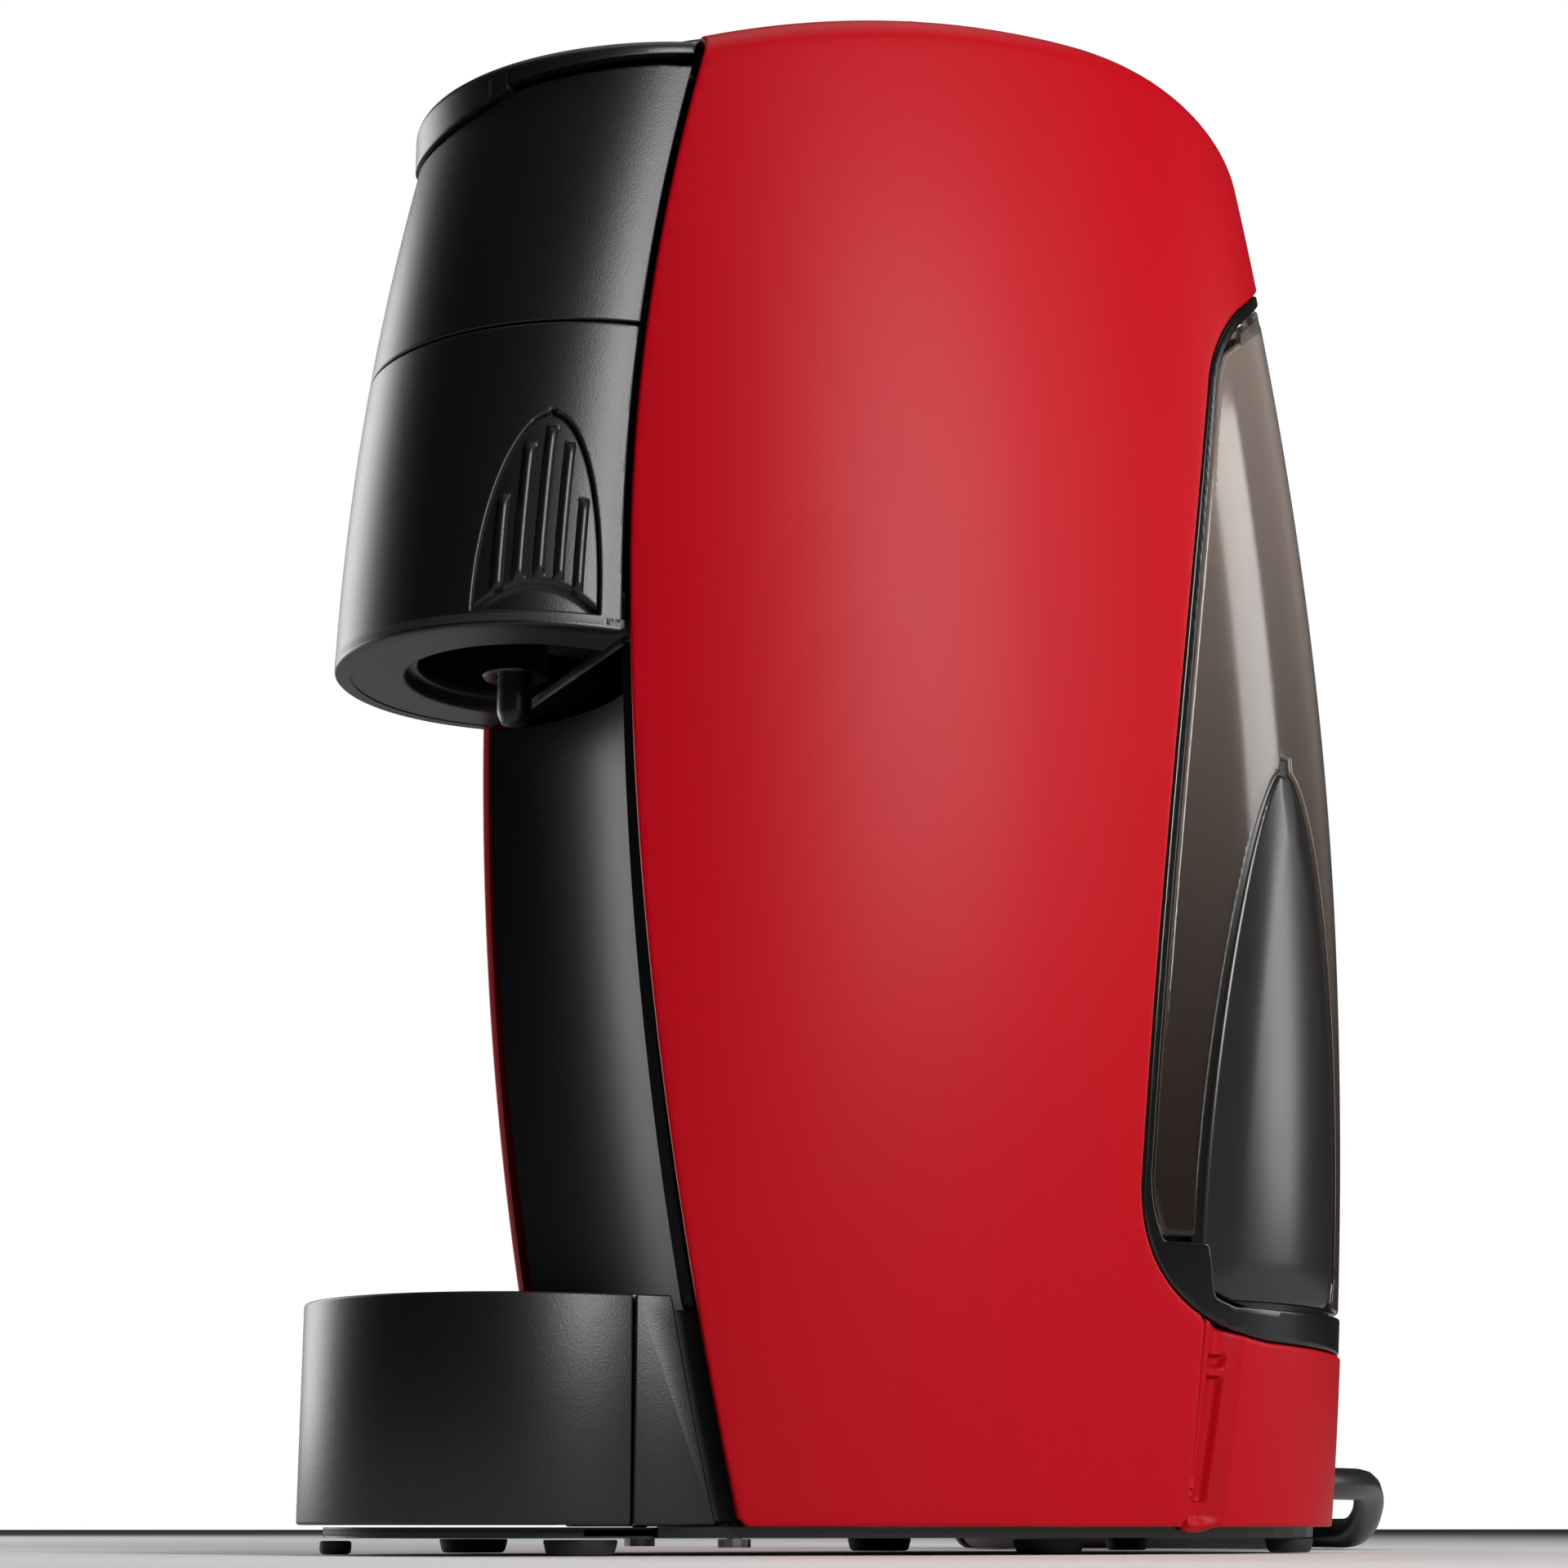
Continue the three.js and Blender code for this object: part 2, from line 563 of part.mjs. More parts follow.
// ---------------------------------------------------------------- tank
function tank() {
  const niche = bodyForm(GAP, FLOOR_Z).intersect(ring(tankZone(0.35), tankZone(2.7, 2.5)));
  const drain = post(6, 30, 60, 0, 140, 20);
  node("tank_niche", niche.subtract(drain), BLACK);
  node(
    "tank_seal",
    turned([[3.5, 39.4], [5.6, 39.4], [5.6, 46.2], [3.5, 46.2], [3.5, 39.4]], 0, 140, 20),
    SILICONE,
  );

  const slope = (lift) => polygon([[100, 225.6 - lift], [260, 358.4 - lift], [260, 420], [100, 420]]);
  const lidTop = sideways(slope(3.2));
  const lidUnder = sideways(slope(6.4));
  const vessel = bodyForm(0.6).intersect(tankZone(3.1, 2.5)).subtract(lidUnder);
  const water = bodyForm(3).intersect(tankZone(5.6, 2.5));
  const boss = ring(post(8, 44, 58, 0, 140, 24), post(3.4, 30, 70, 0, 140, 16));
  const shell = vessel.subtract(water.subtract(boss)).subtract(post(3.4, 30, 70, 0, 140, 16));
  node("water_tank", shell, SMOKE);
  const lid = bodyForm(0.8).intersect(tankZone(3.1)).subtract(lidTop).intersect(sideways(slope(6.1)));
  node("tank_lid", lid.intersect(box(-90, 90, 147, 260, 200, 330)), SMOKE);
  const stem = sum(post(5.2, 58.5, 61, 0, 140, 20), post(1.4, 50, 58.6, 0, 140, 12));
  node("tank_valve", stem, SILICONE);
}

// ---------------------------------------------------------------- works inside
function works() {
  const pump = sum(barrel(16, 52, 92, 18, 34, 24), barrel(8, 46, 98, 18, 34, 16), box(4, 32, 56, 88, 16, 52));
  node("pump", pump, BRASS);
  node("pump_front_mount", ring(barrel(13, 40, 45.6, 18, 34, 20), barrel(4, 30, 60, 18, 34, 16)), RUBBER);
  node("pump_rear_mount", ring(barrel(13, 98.4, 103, 18, 34, 20), barrel(4, 90, 120, 18, 34, 16)), RUBBER);
  node("flow_meter", sum(post(11, 12, 22, -20, 92, 24), barrel(3, 80, 104, -20, 17, 12)), SILICONE);
  const block = sum(box(-22, 22, 40, 78, 180, 236), bar(6, -30, 30, 59, 225), bar(6, -30, 30, 59, 192));
  node("thermoblock", block, ALUMINIUM);
  node("thermal_fuse", box(-6, 6, 78.4, 84, 204, 212), SILICONE);
  node("control_board", box(-34, -32.4, 48, 100, 60, 150), BOARD);
  const plates = [box(-34, 34, 44, 46.4, 8, 176), box(-30, 30, 44, 84, 172.6, 176)];
  const spine = sum(...plates, box(-36, 36, 44, 100, 8, 11));
  const pumpSpace = sum(barrel(15, 20, 60, 18, 34, 24), box(0, 36.5, 50, 94, 0, 20));
  node("chassis_frame", spine.subtract(pumpSpace), ALUMINIUM);
  node(
    "inlet_hose",
    hose([[0, 140, 36], [-4, 136, 28], [-14, 126, 20], [-20, 114, 17], [-20, 105, 17]], 3),
    SILICONE,
  );
  const cold = [[38, 72, 34], [41, 72, 44], [42, 70, 70], [42, 66, 120], [41, 61, 178], [36, 59, 191], [31, 59, 192]];
  node("pressure_hose", hose(cold, 2.5, 8, 20), SILICONE);
  const hot = [[31, 59, 225], [36, 60, 226], [44, 66, 240], [45, 72, 270], [45, 74, 300], [45, 74, 311]];
  node("hot_water_hose", hose(hot, 2.5, 8, 16), SILICONE);
}

// ---------------------------------------------------------------- mains lead
function mainsLead() {
  const { x, y, z } = CORD_EXIT;
  const boot = barrel(4.9, y + 2, y + 23, x, z, 20, 4.2).subtract(barrel(CORD_R + 0.3, y, y + 40, x, z, 16));
  const flange = ring(barrel(8, y - 3, y + 2.01, x, z, 20), barrel(CORD_R + 0.3, y - 20, y + 40, x, z, 16));
  node("cord_gland", boot.add(flange), RUBBER);
  const route = [];
  for (let s = y - 2; s < TUNNEL_END; s += 7) route.push([x, s, z]);
  const steps = 9; // up to where the coil starts, three quarters of the way round
  for (let i = 0; i <= steps; i++) {
    const turn = (i / 12) * (Math.PI / 2);
    const fall = Math.max(0, (i - 4) / (steps - 4));
    const drop = (z - CORD_R - 0.1) * fall * fall * (3 - 2 * fall);
    const px = x - BEND.across * (1 - Math.cos(turn));
    route.push([px, TUNNEL_END + BEND.back * Math.sin(turn), z - drop]);
  }
  node("power_cord", hose(route, CORD_R, 8, 26), RUBBER);
  const { inner, outer, top } = COIL;
  const section = [[inner, 0.3], [outer, 0.3], [outer, top], [inner, top], [inner, 0.3]];
  node("cord_coil", turned(section, COIL.x, COIL.y, 32), RUBBER);
  plug();
}

// The cord's end rises off the coil in a quarter turn, into the plug that lies on the coil.
function plug() {
  const { x, y, turn, z, low } = PLUG;
  const tail = [];
  for (const a of [54, 60, 66, 72, 78, 84, 90]) {
    const t = (a * Math.PI) / 180;
    const rise = (t / (Math.PI / 2)) ** 2 * (3 - (4 * t) / Math.PI);
    tail.push([x + turn * (1 - Math.sin(t)), y + turn * Math.cos(t), low + (z - low) * rise]);
  }
  node("cord_tail", hose(tail, CORD_R, 8, 5), RUBBER);
  const s = new THREE.Shape();
  s.moveTo(-17, -5).quadraticCurveTo(-17, -9, -13, -9).lineTo(13, -9).quadraticCurveTo(17, -9, 17, -5);
  s.lineTo(17, 5).quadraticCurveTo(17, 9, 13, 9).lineTo(-13, 9).quadraticCurveTo(-17, 9, -17, 5);
  const settings = { depth: 32, bevelEnabled: false, curveSegments: 3 };
  const body = solid(new THREE.ExtrudeGeometry(s, settings).rotateX(Math.PI / 2).translate(x, y - 3, z));
  const neck = barrel(9, y - 4, y - 0.4, x, z, 16, 5);
  const pins = [-9.5, 0, 9.5].map((p) => barrel(2.4, y - 53, y - 30, x + p, z + (p ? 0 : 3), 10));
  const sockets = [-9.5, 0, 9.5].map((p) => barrel(2.8, y - 60, y - 28, x + p, z + (p ? 0 : 3), 10));
  const bridge = box(x - 11, x + 11, y - 31, y - 29, z - 1.5, z + 4);
  const space = box(x - 11.4, x + 11.4, y - 31.4, y - 28, z - 1.9, z + 4.4);
  node("plug_body", body.add(neck).subtract(sum(...sockets)).subtract(space), RUBBER);
  node("plug_contacts", sum(...pins, bridge), BRASS);
}

sideShells();
rearCover();
topCover();
buttons();
dripTray();
base();
column();
capsuleBin();
headFascia();
brewGroup();
lever();
tank();
works();
mainsLead();

export default group;
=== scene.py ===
"""A slim capsule espresso machine: red lacquered shells, black brewing head, smoked tank behind."""

import json
import math

import bmesh
import bpy
import numpy as np
from mathutils import Matrix, Vector


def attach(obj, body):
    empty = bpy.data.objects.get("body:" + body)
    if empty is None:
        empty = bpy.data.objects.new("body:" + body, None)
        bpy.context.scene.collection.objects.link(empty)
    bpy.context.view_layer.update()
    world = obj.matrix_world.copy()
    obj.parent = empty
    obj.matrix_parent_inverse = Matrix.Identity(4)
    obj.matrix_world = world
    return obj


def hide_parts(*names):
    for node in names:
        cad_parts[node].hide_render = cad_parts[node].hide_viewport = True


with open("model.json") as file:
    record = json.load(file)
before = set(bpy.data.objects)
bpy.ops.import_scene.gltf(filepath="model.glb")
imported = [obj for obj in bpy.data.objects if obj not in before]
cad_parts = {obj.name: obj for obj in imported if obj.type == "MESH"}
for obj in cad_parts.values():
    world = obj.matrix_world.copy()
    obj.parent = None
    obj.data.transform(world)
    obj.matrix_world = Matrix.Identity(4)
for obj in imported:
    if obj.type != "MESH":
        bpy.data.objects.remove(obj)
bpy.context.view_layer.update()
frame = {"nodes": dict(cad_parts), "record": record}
scene = bpy.context.scene

MM = 0.001
HEAD_Y = -70.9  # the head's upright axis, behind which y is counted below, in millimetres


# ------------------------------------------------------------------ camera
def camera():
    data = bpy.data.cameras.new("studio_camera")
    data.lens = 68.44
    data.sensor_width = 36.0
    data.clip_start = 0.005
    seat = bpy.data.objects.new("studio_camera", data)
    seat.location = (0.5641, -0.2762, 0.005)
    seat.rotation_euler = (math.radians(104.0), 0.0, math.radians(65.0))
    scene.collection.objects.link(seat)
    scene.camera = seat


camera()
scene.view_settings.view_transform = "Standard"


# ------------------------------------------------------------------ bench tools
def clear():
    """Leaves edit mode and deselects everything."""
    if bpy.context.object and bpy.context.object.mode != "OBJECT":
        bpy.ops.object.mode_set(mode="OBJECT")
    bpy.ops.object.select_all(action="DESELECT")


def at(x, y, z):
    """A place in millimetres behind the head's axis, as metres in the row frame."""
    return Vector((x * MM, (y + HEAD_Y) * MM, z * MM))


def only(piece):
    clear()
    piece.select_set(True)
    bpy.context.view_layer.objects.active = piece


def settle(piece, name):
    """Names a new primitive and puts its place into its mesh."""
    only(piece)
    bpy.ops.object.transform_apply(location=True, rotation=True, scale=True)
    piece.name = name
    piece.data.name = name
    return piece


def modify(piece, kind, **settings):
    only(piece)
    m = piece.modifiers.new(kind.lower(), kind)
    for key, value in settings.items():
        setattr(m, key, value)
    bpy.ops.object.modifier_apply(modifier=m.name)


def soften(piece, width, segments=3, angle=35):
    """Rounds every edge sharper than angle."""
    modify(
        piece,
        "BEVEL",
        width=width * MM,
        segments=segments,
        limit_method="ANGLE",
        angle_limit=math.radians(angle),
        use_clamp_overlap=True,
    )


def smooth(piece, angle=40):
    only(piece)
    bpy.ops.object.shade_smooth_by_angle(angle=math.radians(angle))


def joined(name, pieces):
    clear()
    for piece in pieces:
        piece.select_set(True)
    bpy.context.view_layer.objects.active = pieces[0]
    bpy.ops.object.join()
    pieces[0].name = name
    pieces[0].data.name = name
    return pieces[0]


def block(name, x, y, z):
    """A box between two places on each axis."""
    clear()
    middle = at((x[0] + x[1]) / 2, (y[0] + y[1]) / 2, (z[0] + z[1]) / 2)
    bpy.ops.mesh.primitive_cube_add(size=1, location=middle)
    piece = bpy.context.object
    piece.scale = ((x[1] - x[0]) * MM, (y[1] - y[0]) * MM, (z[1] - z[0]) * MM)
    return settle(piece, name)


def rod(name, r, a, b, sides=48, far=None):
    """A round bar, or a cone with the far radius, from place a to place b."""
    clear()
    start, end = at(*a), at(*b)
    line = end - start
    bpy.ops.mesh.primitive_cone_add(
        vertices=sides,
        radius1=r * MM,
        radius2=(r if far is None else far) * MM,
        depth=line.length,
        location=(start + end) / 2,
        rotation=line.to_track_quat("Z", "Y").to_euler(),
    )
    return settle(bpy.context.object, name)


def spun(name, profile, x, y, steps=64):
    """A profile of [radius, height] spun about an upright axis."""
    clear()
    bpy.ops.mesh.primitive_plane_add(size=0.001, location=(0, 0, 0))
    piece = bpy.context.object
    bm = bmesh.new()
    dots = [bm.verts.new((r * MM, 0, z * MM)) for r, z in profile]
    for a, b in zip(dots, dots[1:]):
        bm.edges.new((a, b))
    bm.to_mesh(piece.data)
    bm.free()
    bpy.ops.object.mode_set(mode="EDIT")
    bpy.ops.mesh.select_all(action="SELECT")
    bpy.ops.mesh.spin(steps=steps, angle=2 * math.pi, center=(0, 0, 0), axis=(0, 0, 1))
    bpy.ops.mesh.select_all(action="SELECT")
    bpy.ops.mesh.remove_doubles(threshold=0.00002)
    bpy.ops.mesh.normals_make_consistent(inside=False)
    bpy.ops.object.mode_set(mode="OBJECT")
    piece.location = at(x, y, 0)
    return settle(piece, name)


def cut(piece, *tools, operation="DIFFERENCE"):
    """Cuts closed tools out of a closed piece, or keeps what they share, and removes the tools."""
    for tool in tools:
        modify(piece, "BOOLEAN", operation=operation, solver="EXACT", object=tool)
        bpy.data.objects.remove(tool)


# ------------------------------------------------------------------ finishes
def group_tree(name, inputs, outputs):
    tree = bpy.data.node_groups.new(name, "ShaderNodeTree")
    for label, kind, value in inputs:
        s = tree.interface.new_socket(name=label, in_out="INPUT", socket_type=kind)
        s.default_value = value
    for label, kind in outputs:
        tree.interface.new_socket(name=label, in_out="OUTPUT", socket_type=kind)
    return tree, tree.nodes.new("NodeGroupInput"), tree.nodes.new("NodeGroupOutput")


def wire(tree, source, target):
    tree.links.new(source, target)


def noise(tree, where, scale, detail=2.0, roughness=0.5):
    n = tree.nodes.new("ShaderNodeTexNoise")
    wire(tree, where, n.inputs["Vector"])
    if isinstance(scale, float):
        n.inputs["Scale"].default_value = scale
    else:
        wire(tree, scale, n.inputs["Scale"])
    n.inputs["Detail"].default_value = detail
    n.inputs["Roughness"].default_value = roughness
    return n.outputs["Fac"]


def maths(tree, kind, a, b=None, c=None):
    n = tree.nodes.new("ShaderNodeMath")
    n.operation = kind
    for socket, value in zip(n.inputs, (a, b, c)):
        if value is None:
            continue
        if isinstance(value, (int, float)):
            socket.default_value = value
        else:
            wire(tree, value, socket)
    return n.outputs[0]


def tinted(tree, a, b, fac):
    n = tree.nodes.new("ShaderNodeMix")
    n.data_type = "RGBA"
    wire(tree, fac, n.inputs["Factor"])
    for socket, value in ((n.inputs[6], a), (n.inputs[7], b)):
        if isinstance(value, tuple):
            socket.default_value = (*value, 1.0)
        else:
            wire(tree, value, socket)
    return n.outputs[2]


def moulded_group():
    """Moulded or lacquered skin: a cloudy change of tone, uneven gloss, fine grain and orange peel."""
    tree, i, o = group_tree(
        "moulded_skin",
        [
            ("Color", "NodeSocketColor", (0.5, 0.5, 0.5, 1)),
            ("Shade", "NodeSocketFloat", 0.9),
            ("Gloss", "NodeSocketFloat", 0.4),
            ("Gloss Spread", "NodeSocketFloat", 0.05),
            ("Grain Scale", "NodeSocketFloat", 1800.0),
            ("Grain", "NodeSocketFloat", 0.6),
            ("Peel", "NodeSocketFloat", 0.3),
        ],
        [
            ("Color", "NodeSocketColor"),
            ("Roughness", "NodeSocketFloat"),
            ("Height", "NodeSocketFloat"),
        ],
    )
    where = tree.nodes.new("ShaderNodeTexCoord").outputs["Object"]
    cloud = noise(tree, where, 14.0, 3.0)
    smear = noise(tree, where, 46.0, 4.0, 0.6)
    grain = noise(tree, where, i.outputs["Grain Scale"], 2.0, 0.7)
    peel = noise(tree, where, 260.0, 1.0)
    scaled = tree.nodes.new("ShaderNodeVectorMath")
    scaled.operation = "SCALE"
    wire(tree, i.outputs["Color"], scaled.inputs[0])
    wire(tree, i.outputs["Shade"], scaled.inputs["Scale"])
    wire(tree, tinted(tree, i.outputs["Color"], scaled.outputs[0], cloud), o.inputs["Color"])
    spread = maths(tree, "MULTIPLY", maths(tree, "SUBTRACT", smear, 0.5), i.outputs["Gloss Spread"])
    wire(tree, maths(tree, "ADD", i.outputs["Gloss"], spread), o.inputs["Roughness"])
    fine = maths(tree, "MULTIPLY", grain, i.outputs["Grain"])
    wire(tree, maths(tree, "MULTIPLY_ADD", peel, i.outputs["Peel"], fine), o.inputs["Height"])
    return tree


def metal_group():
    """Worked metal: lines along one axis, cloudy tarnish and uneven gloss."""
    tree, i, o = group_tree(
        "worked_metal",
        [
            ("Color", "NodeSocketColor", (0.6, 0.6, 0.6, 1)),
            ("Gloss", "NodeSocketFloat", 0.3),
            ("Line Scale", "NodeSocketFloat", 900.0),
        ],
        [
            ("Color", "NodeSocketColor"),
            ("Roughness", "NodeSocketFloat"),
            ("Height", "NodeSocketFloat"),
        ],
    )
    where = tree.nodes.new("ShaderNodeTexCoord").outputs["Object"]
    stretch = tree.nodes.new("ShaderNodeMapping")
    stretch.inputs["Scale"].default_value = (1.0, 0.04, 1.0)
    wire(tree, where, stretch.inputs["Vector"])
    lines = noise(tree, stretch.outputs[0], i.outputs["Line Scale"], 3.0, 0.7)
    cloud = noise(tree, where, 60.0, 3.0)
    dark = tree.nodes.new("ShaderNodeVectorMath")
    dark.operation = "SCALE"
    dark.inputs["Scale"].default_value = 0.78
    wire(tree, i.outputs["Color"], dark.inputs[0])
    wire(tree, tinted(tree, i.outputs["Color"], dark.outputs[0], cloud), o.inputs["Color"])
    wire(tree, maths(tree, "MULTIPLY_ADD", lines, 0.14, i.outputs["Gloss"]), o.inputs["Roughness"])
    wire(tree, lines, o.inputs["Height"])
    return tree


MOULDED = moulded_group()
WORKED = metal_group()


def finish_of(name, group, values, bump, shader_values):
    m = bpy.data.materials.new(name)
    m.use_nodes = True
    tree = m.node_tree
    shader = tree.nodes["Principled BSDF"]
    skin = tree.nodes.new("ShaderNodeGroup")
    skin.node_tree = group
    for key, value in values.items():
        skin.inputs[key].default_value = (*value, 1.0) if isinstance(value, tuple) else value
    wire(tree, skin.outputs["Color"], shader.inputs["Base Color"])
    wire(tree, skin.outputs["Roughness"], shader.inputs["Roughness"])
    raised = tree.nodes.new("ShaderNodeBump")
    raised.inputs["Strength"].default_value = bump
    raised.inputs["Distance"].default_value = 0.0002
    wire(tree, skin.outputs["Height"], raised.inputs["Height"])
    wire(tree, raised.outputs["Normal"], shader.inputs["Normal"])
    for key, value in shader_values.items():
        shader.inputs[key].default_value = value
    return m


def plastic(name, color, gloss, grain=0.6, scale=1800.0, bump=0.25, shade=0.85, peel=0.3, **more):
    values = {"Color": color, "Gloss": gloss, "Grain": grain, "Grain Scale": scale}
    values.update({"Shade": shade, "Peel": peel})
    return finish_of(name, MOULDED, values, bump, more)


def metal(name, color, gloss, scale=900.0, bump=0.12):
    values = {"Color": color, "Gloss": gloss, "Line Scale": scale}
    return finish_of(name, WORKED, values, bump, {"Metallic": 1.0})


RED = plastic(
    "red_lacquer", (0.44, 0.0018, 0.0085), 0.42, 0.12, 2600.0, 0.10, 0.88, 0.2,
    **{"Coat Weight": 0.03, "Coat Roughness": 0.3, "Specular IOR Level": 0.10},
)
BLACK = plastic("satin_black", (0.0032, 0.0032, 0.0039), 0.38, 0.8, 2200.0, 0.22)
DARK = plastic("inner_black", (0.004, 0.004, 0.0045), 0.55, 1.0, 1500.0, 0.3)
GLOSS = plastic("gloss_black", (0.003, 0.003, 0.0034), 0.22, 0.1, 2200.0, 0.06)
# painted bounce light: the bin's underside is the same black plastic as its wall, given a lighter, warmer
# tone for the light thrown up from the pale table
UNDERSIDE_BOUNCE_LIT = plastic("underside_black_bounce_lit", (0.024, 0.020, 0.019), 0.42, 0.8, 2000.0, 0.22)
RUBBER = plastic("foot_rubber", (0.014, 0.014, 0.014), 0.72, 1.0, 1400.0, 0.4)
SHEATH = plastic("cord_sheath", (0.020, 0.017, 0.016), 0.34, 0.4, 1600.0, 0.12)
SILICONE = plastic("white_silicone", (0.62, 0.61, 0.57), 0.5, 0.5, 1200.0, 0.2)
BOARD = plastic("green_board", (0.015, 0.11, 0.04), 0.42, 0.9, 700.0, 0.4)
SMOKE = plastic(
    "smoked_tank", (0.50, 0.43, 0.39), 0.10, 0.05, 1400.0, 0.03, 0.92, 0.1,
    **{"Transmission Weight": 0.82, "IOR": 1.42},
)


def shade_by_height(material, low, high, z0, z1):
    """Paints shade into a material's colour, blending it from a low colour to a high colour with the height
    above the table.
    """
    tree = material.node_tree
    skin = next(n for n in tree.nodes if n.type == "GROUP")
    place = tree.nodes.new("ShaderNodeTexCoord")
    split = tree.nodes.new("ShaderNodeSeparateXYZ")
    wire(tree, place.outputs["Object"], split.inputs[0])
    ramp = tree.nodes.new("ShaderNodeMapRange")
    ramp.interpolation_type = "SMOOTHSTEP"
    ramp.inputs["From Min"].default_value = z0 * MM
    ramp.inputs["From Max"].default_value = z1 * MM
    wire(tree, split.outputs["Z"], ramp.inputs["Value"])
    wire(tree, tinted(tree, low, high, ramp.outputs["Result"]), skin.inputs["Color"])


# painted shade: the smoked tank is dark brown low down, where the black seat shows through it, and pale
# higher up, where the bright backdrop shows through
shade_by_height(SMOKE, (0.09, 0.064, 0.050), (0.58, 0.49, 0.43), 60.0, 290.0)
STEEL = metal("brushed_steel", (0.56, 0.56, 0.57), 0.26)
CHROME = metal("satin_chrome", (0.72, 0.72, 0.73), 0.16, 500.0, 0.04)
ALUMINIUM = metal("cast_aluminium", (0.56, 0.57, 0.58), 0.42, 400.0, 0.2)
BRASS = metal("turned_brass", (0.62, 0.43, 0.17), 0.28, 1200.0)

FINISHES = {
    "red": RED,
    "black": BLACK,
    "gloss_black": GLOSS,
    "silver": CHROME,
    "steel": STEEL,
    "spring_steel": CHROME,
    "aluminium": ALUMINIUM,
    "brass": BRASS,
    "rubber": RUBBER,
    "cord": SHEATH,
    "silicone": SILICONE,
    "circuit_board": BOARD,
    "smoke": SMOKE,
}
SLOTS = {s["node"]: s["material_slot"] for s in frame["record"]["subparts"]}


def dress(piece, finish):
    piece.data.materials.clear()
    piece.data.materials.append(finish)


def add(piece, body, slot, finish, *stands_for):
    """Puts a finished piece on its body, in its finish, in place of CAD nodes."""
    dress(piece, finish)
    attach(piece, body)
    if stands_for:
        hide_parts(*stands_for)
    return piece


for node_name, node in frame["nodes"].items():
    kept = FINISHES[SLOTS[node_name]]
    if node.material_slots:
        for k in range(len(node.material_slots)):
            node.material_slots[k].material = kept
    else:
        node.data.materials.append(kept)


# ------------------------------------------------------------------ mains lead
CORD_R = 3.5
EXIT = (-4.0, 158.0, 14.5)
TUNNEL_END = 181.0
BEND = (87.0, 59.0)
COIL = (-91.0, 198.0)
LIE = CORD_R + 0.1
UP = 10.6
PLUG = (-121.0, 206.4, 23.6)


def ease(t):
    t = min(1.0, max(0.0, t))
    return t * t * (3 - 2 * t)


def cord_route():
    """The lead's middle line: out of its tunnel, down to the table, three turns, and up into the plug."""
    x, y, z = EXIT
    route = [(x, s, z) for s in np.linspace(y, TUNNEL_END, 5)[:-1]]
    for i in range(18):
        turn = i / 18 * math.pi / 2
        drop = (z - LIE) * ease((i / 18 * 12 - 4) / 5)
        route.append((x - BEND[0] * (1 - math.cos(turn)), TUNNEL_END + BEND[1] * math.sin(turn), z - drop))
    for k in range(0, 3 * 360, 12):
        turn = k // 360
        part = k % 360
        if turn == 0:
            r, h = 42.0 - 7.2 * ease((part - 270) / 90), LIE
        elif turn == 1:
            rise = ease((part - 210) / 150)
            r, h = 34.8 + 3.6 * rise, LIE + (UP - LIE) * rise
        else:
            r, h = 38.4, UP
        angle = math.radians(90 + part)
        route.append((COIL[0] + r * math.cos(angle), COIL[1] + r * math.sin(angle), h))
    for a in range(0, 91, 9):
        t = math.radians(a)
        height = UP + (PLUG[2] - UP) * ease(a / 90)
        route.append((PLUG[0] + 30 * (1 - math.sin(t)), PLUG[1] + 30 * math.cos(t), height))
    route.append((PLUG[0], PLUG[1] - 2.0, PLUG[2]))
    return route


def tube(name, route, r, sides=16):
    """A smooth round tube along a route, closed at both ends."""
    curve = bpy.data.curves.new(name, "CURVE")
    curve.dimensions = "3D"
    curve.bevel_depth = r * MM
    curve.bevel_resolution = sides // 4
    curve.use_fill_caps = True
    spline = curve.splines.new("POLY")
    spline.points.add(len(route) - 1)
    for dot, place in zip(spline.points, route):
        dot.co = (*at(*place), 1.0)
    piece = bpy.data.objects.new(name, curve)
    scene.collection.objects.link(piece)
    only(piece)
    bpy.ops.object.convert(target="MESH")
    piece = bpy.context.object
    smooth(piece, 60)
    return piece


def fine_route(route, step=2.5):
    """The route at even steps, through a smooth curve."""
    points = np.array(route, float)
    out = []
    for i in range(len(points) - 1):
        p0 = points[max(i - 1, 0)]
        p1, p2 = points[i], points[i + 1]
        p3 = points[min(i + 2, len(points) - 1)]
        n = max(1, int(np.linalg.norm(p2 - p1) / step))
        for t in np.arange(n) / n:
            square = (2 * p0 - 5 * p1 + 4 * p2 - p3) * t**2
            cube = (3 * p1 - p0 - 3 * p2 + p3) * t**3
            out.append(0.5 * (2 * p1 + (p2 - p0) * t + square + cube))
    out.append(points[-1])
    return [tuple(p) for p in out]


